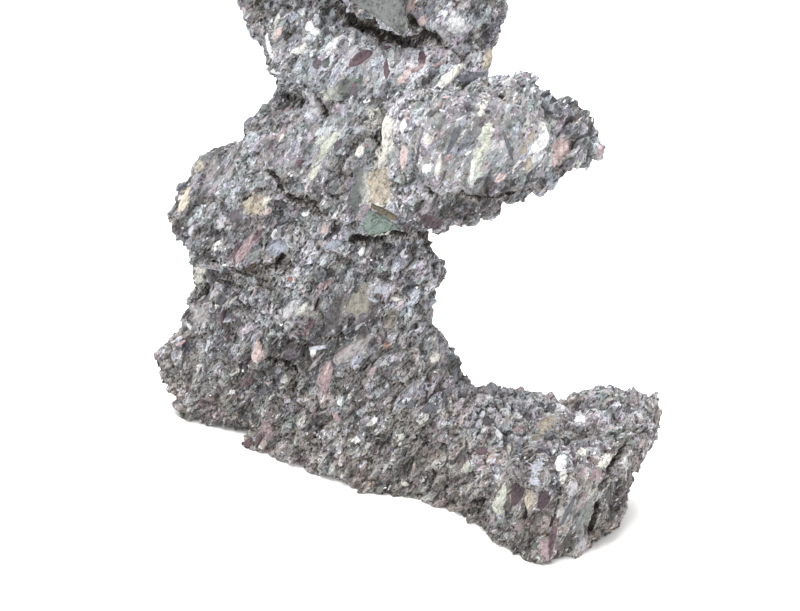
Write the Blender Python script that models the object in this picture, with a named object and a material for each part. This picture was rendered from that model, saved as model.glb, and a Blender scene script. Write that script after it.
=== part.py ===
"""Rough rock: one upright block of coarse, granular volcanic breccia.

The block is a slanting slab that runs from a lumpy foot at the back left to a
square foot at the front right. A trunk rises from its left half to a bulge, a
middle block with a shelf that juts out to the right, and a crown whose cap
overhangs a dark cleft. All of it is one stone.

Sizes are in millimetres and are turned into metres where the object is made.
+X is to the viewer's right, -Y is towards the viewer and +Z is up.
"""

import bmesh
import bpy
from mathutils import Vector, noise
from mathutils.geometry import intersect_point_line

# Sizes of the whole stone: how finely its masses are fused, how many
# triangles it keeps, and the height at which its foot is cut flat.
VOXEL = 2.5
TRIANGLES = 9200
FOOT_HEIGHT = 0.0
MILLIMETRE = 0.001

# The grain of the stone: its flattened pieces lie along this direction, in
# planes with this normal, and are this much longer or thinner than wide.
GRAIN_ALONG = Vector((0.55, -0.10, 0.83)).normalized()
GRAIN_NORMAL = Vector((0.80, 0.30, -0.52)).normalized()
GRAIN_LENGTH = 1.7
GRAIN_THICKNESS = 0.65

# Size and height of the swells, ledges and lumps of the broken surface, and
# what keeps the lumps from lying in step with the ledges.
SWELL = (36.0, 3.0)
LEDGE = (20.0, 2.7)
LUMP = (10.0, 1.9)
LUMP_OFFSET = Vector((50.0, 0.0, 0.0))

# Each mass is the hull of its corners.
MASSES = {
    "left foot": [
        (-110, 42, -7), (-99, 36, -7), (-77, 27, -7), (-120, 48, 17), (-127, 56, 30),
        (-118, 62, 37), (-110, 60, 48), (-97, 54, 46), (-80, 31, 44), (-68, 17, 46),
        (-66, 14, 23), (-87, 27, 24), (-82, 95, -7), (-104, 83, -7), (-88, 95, 42),
        (-54, 95, 42),
    ],
    "base": [
        (-73, 10, -7), (-44, -14, -7), (-21, -32, -7), (5, -42, -7), (20, -46, -7),
        (40, -60, -7), (-70, 16, 31), (-43, -6, 42), (-19, -25, 43), (19, -41, 48),
        (39, -42, 53), (-54, 94, -7), (5, 53, -7), (56, 10, -7), (-51, 89, 47),
        (5, 42, 42), (41, 3, 38),
    ],
    "right foot": [
        (42, -71, -7), (47, -77, -7), (54, -89, -7), (61, -91, -7), (70, -96, -7),
        (82, -95, -7), (94, -86, -7), (41, -66, 29), (49, -77, 37), (60, -94, 42),
        (73, -101, 43), (91, -89, 42), (122, -60, 43), (125, -52, 54), (122, -43, 55),
        (107, -38, 53), (98, -37, 52), (88, -36, 49), (81, -36, 47), (71, -28, 50),
        (115, -60, 36), (109, -60, 26), (100, -17, -7), (107, -24, 21),
    ],
    "right foot back lump": [
        (97, -67, 26), (112, -50, 17), (111, -54, 6), (106, -69, -7), (102, -76, -7),
        (95, -79, -7), (95, -38, -7), (95, -38, 27),
    ],
    "saddle between the feet": [
        (19, -39, 49), (39, -42, 54), (61, -51, 51), (71, -29, 51), (48, -19, 49),
        (39, -60, 44), (51, -75, 39), (40, -65, -7), (51, -76, -7), (76, -26, -7),
        (36, -7, 38), (51, -2, 34), (56, 5, -7),
    ],
    "trunk": [
        (-101, 54, 83), (-99, 53, 69), (-106, 54, 54), (-113, 58, 37), (-72, 12, 84),
        (-75, 20, 55), (-49, -2, 94), (-20, -18, 116), (5, -28, 121), (18, -28, 125),
        (24, -28, 109), (21, -28, 92), (19, -29, 82), (-33, -9, 72), (-8, -24, 78),
        (-43, -5, 44), (-26, -19, 44), (-71, 16, 26), (-39, -8, 126), (-24, -19, 124),
        (-94, 89, 42), (-42, 85, 42), (-8, 51, 42), (-88, 85, 102), (-42, 76, 119),
        (2, 30, 115), (0, 26, 82),
    ],
    "trunk root": [
        (19, -29, 82), (24, -27, 79), (31, -25, 69), (38, -25, 58), (40, -26, 50),
        (19, -41, 50), (5, -31, 78), (-19, -25, 42), (-26, -17, 75), (-34, 68, 42),
        (17, 34, 42), (-26, 60, 76), (2, 26, 76), (22, 0, 56),
    ],
    "core": [
        (-53, 8, 100), (-56, 78, 95), (7, 42, 95), (10, -12, 110), (-46, -2, 119),
        (-42, -3, 139), (-26, -12, 133), (-53, 17, 166), (-56, 75, 170), (15, 41, 166),
        (17, -19, 157),
    ],
    "back of the trunk": [
        (-95, 85, -7), (-65, 97, -7), (-19, 71, -7), (15, 44, -7), (-90, 86, 40),
        (-62, 104, 46), (-30, 94, 58), (-10, 68, 44), (8, 42, 56), (-84, 78, 90),
        (-52, 94, 104), (-26, 80, 118), (2, 50, 116), (-68, 51, 17), (0, 17, 51),
        (-68, 42, 102),
    ],
    "back ridge": [
        (-20, 78, 12), (2, 60, 24), (12, 46, 46), (-2, 66, 84), (-22, 84, 92),
        (-30, 92, 60), (-10, 44, 17), (-17, 51, 85),
    ],
    "back of the bulge": [
        (-90, 78, 104), (-66, 92, 110), (-44, 83, 121), (-60, 78, 143), (-82, 68, 139),
        (-68, 42, 110), (-51, 42, 144),
    ],
    "back of the crown": [
        (-58, 72, 168), (-30, 84, 164), (4, 62, 160), (20, 40, 168), (-66, 68, 206),
        (-44, 88, 210), (-8, 80, 214), (22, 54, 204), (38, 24, 214), (-58, 68, 238),
        (-30, 78, 246), (10, 54, 246), (34, 30, 238), (-20, 20, 200),
    ],
    "back ledge": [
        (-62, 76, 118), (-26, 90, 112), (8, 62, 112), (-64, 70, 148), (-38, 92, 142),
        (-8, 80, 148), (14, 54, 144), (-50, 80, 172), (-12, 74, 174), (14, 48, 168),
        (-26, 42, 130),
    ],
    "upper trunk lump": [
        (-56, 1, 82), (-47, -5, 94), (-31, -13, 98), (-22, -18, 92), (-26, -19, 80),
        (-42, -11, 68), (-52, -4, 70), (-42, 34, 85), (-42, 34, 72),
    ],
    "lower trunk lump": [
        (-76, 14, 50), (-62, 6, 59), (-48, -3, 60), (-43, -7, 52), (-59, 3, 43),
        (-72, 13, 40), (-60, 42, 60), (-60, 42, 42),
    ],
    "left bulge": [
        (-114, 55, 108), (-107, 55, 120), (-100, 55, 126), (-93, 53, 135), (-86, 48, 145),
        (-72, 35, 152), (-75, 1, 119), (-54, -6, 136), (-48, -7, 100), (-71, 3, 98),
        (-91, 18, 96), (-98, 37, 93), (-102, 49, 99), (-91, 20, 120), (-88, 80, 98),
        (-85, 71, 133), (-42, 68, 128),
    ],
    "shoulder": [
        (-70, 16, 156), (-70, 31, 155), (-66, 33, 162), (-60, 30, 169), (-41, -9, 142),
        (-55, -4, 133), (-75, 3, 121), (-48, 3, 172), (-48, 21, 177), (-66, 68, 146),
        (-49, 73, 170), (-34, 51, 153),
    ],
    "middle": [
        (-71, 28, 160), (-48, 3, 174), (-26, -14, 179), (-6, -30, 185), (-4, -38, 169),
        (-4, -40, 147), (-40, -12, 142), (-29, -20, 134), (-20, -27, 127), (-5, -32, 125),
        (19, -33, 126), (-50, -4, 135), (-63, 71, 150), (-42, 76, 174), (15, 26, 138),
        (22, 34, 183),
    ],
    "shelf": [
        (-3, -47, 188), (-2, -52, 173), (-1, -55, 154), (14, -60, 196), (26, -67, 201),
        (42, -68, 203), (51, -68, 208), (60, -68, 210), (20, -88, 193), (52, -91, 199),
        (68, -88, 187), (61, -86, 173), (33, -88, 167), (9, -72, 160), (5, -64, 144),
        (19, -77, 141), (47, -81, 156), (65, -79, 165), (62, -62, 202), (43, -34, 197),
        (42, -26, 166), (17, 0, 149), (17, 0, 189),
    ],
    "shelf horn": [
        (48, -70, 204), (54, -73, 207), (62, -68, 211), (61, -61, 208), (53, -61, 209),
        (48, -60, 196), (63, -65, 199), (60, -76, 201),
    ],
    "shelf tip": [
        (63, -78, 165), (79, -77, 169), (91, -73, 178), (88, -65, 184), (82, -58, 190),
        (71, -54, 197), (60, -58, 201), (51, -34, 194), (71, -34, 174), (51, -34, 170),
    ],
    "crown band": [
        (-70, 33, 220), (-64, 33, 210), (-57, 31, 196), (-51, 26, 185), (-48, 17, 179),
        (-40, -3, 180), (-21, -16, 179), (5, -37, 190), (26, -45, 197), (44, -38, 198),
        (45, -30, 201), (47, -23, 209), (49, -20, 218), (51, -16, 230), (-20, 4, 220),
        (5, -14, 211), (23, -23, 210), (-40, 16, 214), (39, -30, 215), (-57, 83, 182),
        (-66, 78, 225), (8, 51, 183), (38, 26, 225),
    ],
    "crown left": [
        (-71, 33, 223), (-40, 16, 214), (-24, 6, 225), (-76, 35, 236), (-71, 31, 252),
        (-57, 28, 263), (-68, 76, 230), (-60, 72, 255), (-17, 51, 255),
    ],
    "crown cap": [
        (-24, -3, 228), (-17, -8, 221), (1, -20, 216), (8, -25, 214), (24, -30, 214),
        (42, -31, 225), (50, -23, 230), (51, -16, 246), (-39, 13, 244), (-56, 23, 263),
        (-26, 13, 273), (18, -6, 268), (-12, -20, 251), (26, -33, 245), (-34, 72, 266),
        (20, 46, 260), (38, 29, 230), (-51, 66, 238),
    ],
}

# Each groove runs through its points, this wide and this deep into the skin.
GROOVES = {
    "left hollow": (12.0, 6.0, [(-98, 52, 73), (-89, 42, 70)]),
    "bulge ledge": (7.5, 2.5, [(-96, 33, 88), (-72, 11, 92), (-48, -1, 95)]),
    "middle cavity": (7.5, 3.0, [(-42, -9, 142), (-35, -13, 137), (-27, -18, 131)]),
    "joint under the shelf": (7.5, 2.5, [(-20, -25, 123), (-4, -30, 122), (19, -30, 123)]),
    "crown joint": (8.5, 4.0, [(-50, 20, 178), (-40, 1, 180), (-19, -20, 179)]),
    "shelf joint": (7.5, 2.5, [(28, -43, 196), (43, -37, 196)]),
    "trunk crack": (7.5, 3.0, [(-60, 8, 48), (-48, -1, 49), (-45, -3, 41)]),
    "trunk valley": (29.0, 2.5, [(-18, -16, 114), (-31, -8, 81), (-51, 1, 58), (-76, 18, 24)]),
    "cleft under the cap": (12.0, 6.0, [(-24, 9, 224), (-16, 3, 217), (2, -13, 212), (22, -21, 210)]),
    "shelf vein": (8.5, 2.5, [(-3, -43, 184), (-5, -40, 169), (-3, -43, 155)]),
    "foot groove": (10.0, 2.0, [(30, -31, 49), (37, -54, 37), (41, -65, 13)]),
    "foot side groove": (10.0, 3.5, [(109, -64, 42), (94, -72, 27), (79, -93, 8)]),
    "foot dip": (18.5, 3.0, [(81, -37, 50), (65, -47, 43)]),
    "back valley": (22.0, 5.0, [(12, 56, 196), (-22, 86, 152), (-58, 96, 84), (-84, 88, 20)]),
    "back step": (12.0, 4.0, [(-60, 76, 160), (-20, 84, 160), (16, 46, 168)]),
    "back crack": (8.0, 3.5, [(-60, 98, 50), (-34, 94, 34), (-6, 66, 40)]),
}


def hull(bm, corners):
    """Add the convex hull of the corners to the mesh."""
    verts = [bm.verts.new(corner) for corner in corners]
    result = bmesh.ops.convex_hull(bm, input=verts)
    inner = [item for item in result["geom_interior"] if isinstance(item, bmesh.types.BMVert)]
    bmesh.ops.delete(bm, geom=inner, context="VERTS")


def masses_mesh():
    """All masses as overlapping closed hulls in one mesh."""
    bm = bmesh.new()
    for corners in MASSES.values():
        hull(bm, corners)
    bmesh.ops.recalc_face_normals(bm, faces=bm.faces)
    mesh = bpy.data.meshes.new("masses")
    bm.to_mesh(mesh)
    bm.free()
    return mesh


def evaluated(mesh, add_modifier):
    """The mesh as it is under the modifier that is added to an object of it."""
    holder = bpy.data.objects.new("holder", mesh)
    bpy.context.scene.collection.objects.link(holder)
    add_modifier(holder)
    graph = bpy.context.evaluated_depsgraph_get()
    result = bpy.data.meshes.new_from_object(holder.evaluated_get(graph))
    bpy.data.objects.remove(holder)
    return result


def fused(mesh):
    """One skin round all the closed bodies of the mesh."""
    def add_remesh(holder):
        remesh = holder.modifiers.new("Fuse", "REMESH")
        remesh.mode = "VOXEL"
        remesh.voxel_size = VOXEL
    return evaluated(mesh, add_remesh)


def thinned(mesh):
    """The mesh with about the number of triangles that the stone keeps."""
    mesh.calc_loop_triangles()
    share = TRIANGLES / len(mesh.loop_triangles)

    def add_decimate(holder):
        decimate = holder.modifiers.new("Thin", "DECIMATE")
        decimate.ratio = share
        decimate.use_collapse_triangulate = True
    return evaluated(mesh, add_decimate)


def in_grain(point, size):
    """The point in units of this size, stretched along the grain."""
    across = GRAIN_NORMAL.cross(GRAIN_ALONG)
    return Vector((
        point.dot(GRAIN_ALONG) / (size * GRAIN_LENGTH),
        point.dot(across) / size,
        point.dot(GRAIN_NORMAL) / (size * GRAIN_THICKNESS),
    ))


def facets(point, size, height):
    """Height of a surface broken into tilted flat facets of this size."""
    place = in_grain(point, size)
    centre = noise.voronoi(place)[1][0]
    tilt = noise.cell_vector(centre * 7.3)
    slope = (place - centre).dot(tilt) * 1.2
    return height * (slope + noise.noise(centre * 3.1))


def groove_depth(point, width, depth, line):
    """How deep the groove along the line is at a point."""
    nearest = width
    for start, end in zip(line, line[1:]):
        start, end = Vector(start), Vector(end)
        spot, part = intersect_point_line(point, start, end)
        if part < 0.0:
            spot = start
        elif part > 1.0:
            spot = end
        nearest = min(nearest, (point - spot).length)
    closeness = 1.0 - (nearest / width) ** 2
    return depth * closeness ** 2


def relief(point):
    """How far the skin stands out at a point."""
    swell_size, swell_height = SWELL
    swells = noise.noise(point / swell_size) * swell_height
    ledges = facets(point, *LEDGE)
    lumps = facets(point + LUMP_OFFSET, *LUMP)
    grooves = sum(groove_depth(point, *groove) for groove in GROOVES.values())
    return swells + ledges + lumps - grooves


def weathered(mesh):
    """Move every vertex along its normal by the relief of the stone."""
    normals = [vertex.normal.copy() for vertex in mesh.vertices]
    for vertex, normal in zip(mesh.vertices, normals):
        vertex.co += normal * relief(vertex.co)
    return mesh


def body_round(vertex):
    """All vertices that edges connect with this one."""
    body = {vertex}
    front = [vertex]
    while front:
        for edge in front.pop().link_edges:
            for other in edge.verts:
                if other not in body:
                    body.add(other)
                    front.append(other)
    return body


def keep_largest_body(bm):
    """Delete every body but the one with the most vertices."""
    left = set(bm.verts)
    largest = set()
    while left:
        body = body_round(next(iter(left)))
        left -= body
        if len(body) > len(largest):
            largest = body
    spare = [vertex for vertex in bm.verts if vertex not in largest]
    bmesh.ops.delete(bm, geom=spare, context="VERTS")


def cut_foot(bm):
    """Cut the foot of the stone flat, and close the cut."""
    cut = bmesh.ops.bisect_plane(
        bm,
        geom=bm.verts[:] + bm.edges[:] + bm.faces[:],
        plane_co=(0.0, 0.0, FOOT_HEIGHT),
        plane_no=(0.0, 0.0, -1.0),
        clear_outer=True,
    )
    rim = [item for item in cut["geom_cut"] if isinstance(item, bmesh.types.BMEdge)]
    bmesh.ops.triangle_fill(bm, edges=rim, use_beauty=True)
    bmesh.ops.triangulate(bm, faces=bm.faces)
    bmesh.ops.recalc_face_normals(bm, faces=bm.faces)


def centre_on_origin(bm):
    """Put the origin under the middle of the stone, and return the move."""
    low = Vector([min(vertex.co[axis] for vertex in bm.verts) for axis in range(3)])
    high = Vector([max(vertex.co[axis] for vertex in bm.verts) for axis in range(3)])
    middle = (low + high) / 2.0
    move = Vector((-middle.x, -middle.y, -low.z))
    bmesh.ops.translate(bm, verts=bm.verts, vec=move)
    return move


def finished(mesh):
    """The one body of the mesh, cut flat, centred and in metres."""
    bm = bmesh.new()
    bm.from_mesh(mesh)
    keep_largest_body(bm)
    cut_foot(bm)
    keep_largest_body(bm)
    move = centre_on_origin(bm)
    bmesh.ops.scale(bm, verts=bm.verts, vec=(MILLIMETRE, MILLIMETRE, MILLIMETRE))
    result = bpy.data.meshes.new("rock")
    bm.to_mesh(result)
    bm.free()
    return result, move


def stone_material():
    """Rough mid grey stone."""
    material = bpy.data.materials.new("grey breccia")
    material.use_nodes = True
    shader = material.node_tree.nodes["Principled BSDF"]
    shader.inputs["Base Color"].default_value = (0.16, 0.15, 0.17, 1.0)
    shader.inputs["Roughness"].default_value = 0.85
    shader.inputs["Metallic"].default_value = 0.0
    return material


def rock():
    """The stone as one object, and the move that centred it."""
    skin = fused(weathered(fused(masses_mesh())))
    mesh, move = finished(thinned(skin))
    mesh.materials.append(stone_material())
    stone = bpy.data.objects.new("rock", mesh)
    bpy.context.scene.collection.objects.link(stone)
    return stone, move


def main():
    for leftover in list(bpy.data.objects):
        bpy.data.objects.remove(leftover, do_unlink=True)
    rock()


if __name__ == "__main__":
    main()
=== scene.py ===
"""The looks of a rough rock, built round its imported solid.

The stone is one block of coarse volcanic breccia: a grey, granular mass full of
flattened splinters of other stones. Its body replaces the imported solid. Lenses
that lie where the photograph shows them, splinters, grains and crystals are set
into that body, and each kind is one joined mesh.

Sizes in the tables are real ones in millimetres. Places there are pixels of the
photograph, and each is carried along its line of sight onto the stone's skin.
+X is to the viewer's right, -Y is towards the viewer and +Z is up.
"""

import math
from collections import namedtuple

import bmesh
import bpy
import numpy as np
from mathutils import Matrix, Vector, noise
from mathutils.bvhtree import BVHTree
from mathutils.kdtree import KDTree


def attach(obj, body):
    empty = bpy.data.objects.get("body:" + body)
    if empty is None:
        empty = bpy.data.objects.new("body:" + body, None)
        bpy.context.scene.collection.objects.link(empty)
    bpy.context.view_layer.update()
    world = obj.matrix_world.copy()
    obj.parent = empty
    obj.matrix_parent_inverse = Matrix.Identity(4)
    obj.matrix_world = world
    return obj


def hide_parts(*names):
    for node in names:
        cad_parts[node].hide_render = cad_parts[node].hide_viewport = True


bl_info = {
    "name": "Rough Rock",
    "version": (1, 0, 0),
    "blender": (4, 5, 0),
    "location": "View3D > Sidebar > Rough Rock",
    "description": "Gives a packed block of breccia its broken skin, splinters, grains and crystals",
    "category": "Object",
}

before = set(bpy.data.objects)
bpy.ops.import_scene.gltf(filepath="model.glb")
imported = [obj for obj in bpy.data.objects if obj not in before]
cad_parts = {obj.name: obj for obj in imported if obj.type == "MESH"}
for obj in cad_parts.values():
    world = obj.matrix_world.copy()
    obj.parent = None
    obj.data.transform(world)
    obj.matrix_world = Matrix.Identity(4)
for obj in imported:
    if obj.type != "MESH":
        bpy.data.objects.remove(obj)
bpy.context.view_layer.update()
SOLID = "rock"
BODY = "root"

# A shade holds a stain's colour, the stain's strength, and the columns named
# here. Only a cut is as hollow as CUT_FLOOR.
SHADE = 7
# The tone column carries the stone's own tone and painted light and shade. The hollow column marks holes
# and cuts, which the material paints with painted shade and some dirt.
STRENGTH, TONE_AND_LIGHT, HOLLOW, QUIET = 3, 4, 5, 6
LAYERS = (("tone", TONE_AND_LIGHT), ("hollow", HOLLOW), ("calm", QUIET))
CUT_FLOOR = 0.78

MM = 0.001
PICTURE_WIDTH = 800
PICTURE_HEIGHT = 611

# The grain of the stone: its flattened splinters lie along this direction, in
# planes with this normal, and are this much longer or thinner than wide.
GRAIN_ALONG = Vector((0.55, -0.10, 0.83)).normalized()
GRAIN_NORMAL = Vector((0.80, 0.30, -0.52)).normalized()
GRAIN_ACROSS = GRAIN_NORMAL.cross(GRAIN_ALONG).normalized()
GRAIN_LENGTH = 1.7
GRAIN_THICKNESS = 0.65


def tint(red, green, blue):
    """The scene's linear colour for a screen colour of 0 to 255."""
    shares = [value / 255.0 for value in (red, green, blue)]
    return tuple(s / 12.92 if s <= 0.04045 else ((s + 0.055) / 1.055) ** 2.4 for s in shares)


# Hollows and cracks of the skin: width and depth in millimetres, and the line.
CUTS = {
    "cleft under the cap": (3.9, 1.8, [(338, 6), (346, 15), (357, 23), (370, 29), (386, 36), (402, 42)]),
    "cleft at the right": (3.8, 3.8, [(406, 42), (418, 39), (430, 37), (438, 42)]),
    "crack past the cleft": (1.2, 2, [(442, 46), (451, 49), (457, 54)]),
    "hole past the cleft": (2.2, 4, [(457, 60), (461, 60)]),
    "notch of the cap": (2.8, 3, [(410, 18), (416, 27), (424, 34)]),
    "pit of the cap": (1.8, 2.5, [(484, 29), (489, 27)]),
    "pit of the crown": (1.8, 2.5, [(286, 7), (292, 7)]),
    "corner beside the split": (2.4, 2.5, [(250, 25), (256, 21)]),
    "split of the crown's edge": (1.5, 2.6, [(257, 22), (262, 31), (265, 41), (265, 52), (269, 61),
        (274, 72)]),
    "hole left of the neck": (3.2, 5.6, [(277, 104), (283, 99), (288, 96)]),
    "hole in the neck": (2.8, 6, [(291, 97), (300, 98), (302, 104)]),
    "hole right of the neck": (3, 6, [(316, 102), (320, 107), (323, 112)]),
    "crack of the neck": (1.2, 2.5, [(329, 104), (337, 102), (345, 104)]),
    "joint beside the shelf": (1.6, 3, [(457, 85), (467, 83), (476, 82)]),
    "crack over the bulge": (2.4, 5, [(266, 170), (275, 180), (284, 192), (292, 203)]),
    "hollow over the bulge": (5.4, 5, [(292, 200), (301, 200), (310, 205), (318, 214)]),
    "hollow over the sandy patch": (1.6, 2.4, [(243, 200), (252, 193), (263, 188)]),
    "joint under the bulge": (3.4, 5.5, [(234, 267), (246, 271), (257, 272), (268, 270), (277, 265),
        (281, 257)]),
    "joint at the left of it": (1.5, 3, [(207, 262), (217, 263), (226, 269)]),
    "hollow at the left": (4.6, 5.5, [(209, 288), (203, 294), (196, 300)]),
    "line between the strips": (1, 1.4, [(184, 318), (195, 309), (207, 298)]),
    "joint under the green plate": (3.8, 5, [(352, 238), (366, 242), (380, 239), (394, 235), (410, 238),
        (428, 234)]),
    "hollow over the yellow rim": (1.6, 2.4, [(391, 296), (397, 293), (403, 297)]),
    "crack of the trunk": (3, 5, [(264, 360), (280, 361), (290, 366), (297, 373), (296, 384), (290, 390)]),
    "dark seam of the trunk": (1.6, 2, [(318, 337), (330, 339), (341, 336)]),
    "pit in the shelf": (2.8, 4.5, [(422, 187), (429, 192), (436, 199)]),
    "undercut of the shelf": (2.2, 3, [(460, 194), (478, 199), (498, 200), (518, 196)]),
    "edge under the shelf": (1.8, 2, [(532, 192), (543, 187), (551, 183)]),
    "hollow beside the vein": (2, 3, [(378, 132), (378, 143)]),
    "hole at the foot": (2.6, 4.5, [(472, 505), (480, 498)]),
    "slit of the foot": (2, 4.5, [(522, 502), (525, 511), (523, 519)]),
    "split of the foot": (1.5, 3, [(561, 488), (559, 500), (554, 515), (549, 530)]),
    "joint of the back lump": (3, 5, [(628, 443), (617, 459), (606, 480), (598, 505), (593, 532)]),
    "hole beside the back lump": (2, 3.5, [(621, 471), (626, 473)]),
    "dip on the foot": (2.8, 3, [(587, 425), (577, 432), (567, 440)]),
    "gap under the plate": (1.8, 3, [(362, 22), (372, 27), (384, 31), (396, 38)]),
}

# Spurs and nicks of the outline: height, or depth below zero, width and place.
SPURS = {
    "right edge of the cap": (1.3, 12, (504, 9)),
    "left edge of the crown": (1.8, 20, (247, 28)),
    "lower right edge of the crown": (1.6, 12, (487, 66)),
    "horn of the shelf": (1.6, 6, (537, 77)),
    "upper edge of the shelf": (1.6, 9, (575, 104)),
    "tip of the shelf": (1.6, 11, (598, 160)),
    "bump under the shelf": (1.8, 5, (429, 236)),
    "bump of the bay": (1.2, 7, (443, 272)),
    "wall of the bay": (2.1, 16, (437, 316)),
    "shoulder": (1.2, 20, (222, 146)),
    "knob of the left edge": (3, 7, (181, 190)),
    "side of the bulge": (1.6, 18, (171, 212)),
    "side of the trunk": (3.4, 8, (184, 317)),
    "corner of the sole": (1.4, 5, (243, 441)),
    "saddle of the foot": (1.8, 16, (548, 394)),
    "back of the foot": (1.8, 8, (634, 389)),
    "back corner of the foot": (1.8, 5, (653, 395)),
    "side of the foot": (1.6, 9, (652, 443)),
    "notch of the neck": (-5.4, 17, (260, 107)),
    "nick beside the crown": (-5.4, 8, (492, 78)),
    "nick beside the horn": (-2.6, 6, (543, 92)),
    "nick over the tip": (-1.4, 6, (592, 118)),
    "nick of the tip": (-2.8, 9, (598, 133)),
    "nick under the tip": (-1.4, 7, (567, 176)),
    "underside of the shelf": (-2.4, 15, (508, 208)),
    "underside near the trunk": (-2.2, 12, (450, 230)),
    "nick of the bay": (-2, 11, (450, 345)),
    "nick of the bulge": (-3, 8, (188, 180)),
    "nick under the bulge": (-4.4, 8, (182, 242)),
    "nick of the bulge's side": (-1.6, 6, (172, 230)),
    "waist at the left": (-1, 14, (192, 275)),
    "nick over the left foot": (-2.2, 8, (172, 333)),
    "sole at the left": (-2.4, 12, (222, 429)),
    "nick of the saddle": (-4.4, 9, (573, 396)),
    "edge of the right foot": (-1.8, 9, (659, 420)),
    "nick of the right foot": (-2.2, 9, (634, 470)),
    "corner of the back lump": (-3.4, 12, (623, 523)),
    "nick before the horn": (-1.6, 8, (523, 70)),
    "nick at the top of the bay": (-1.6, 6, (433, 250)),
    "middle edge of the crown": (1.4, 10, (263, 50)),
    "upper edge of the bulge": (1.1, 16, (203, 155)),
    "side of the left foot": (1.5, 10, (170, 390)),
}

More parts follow.
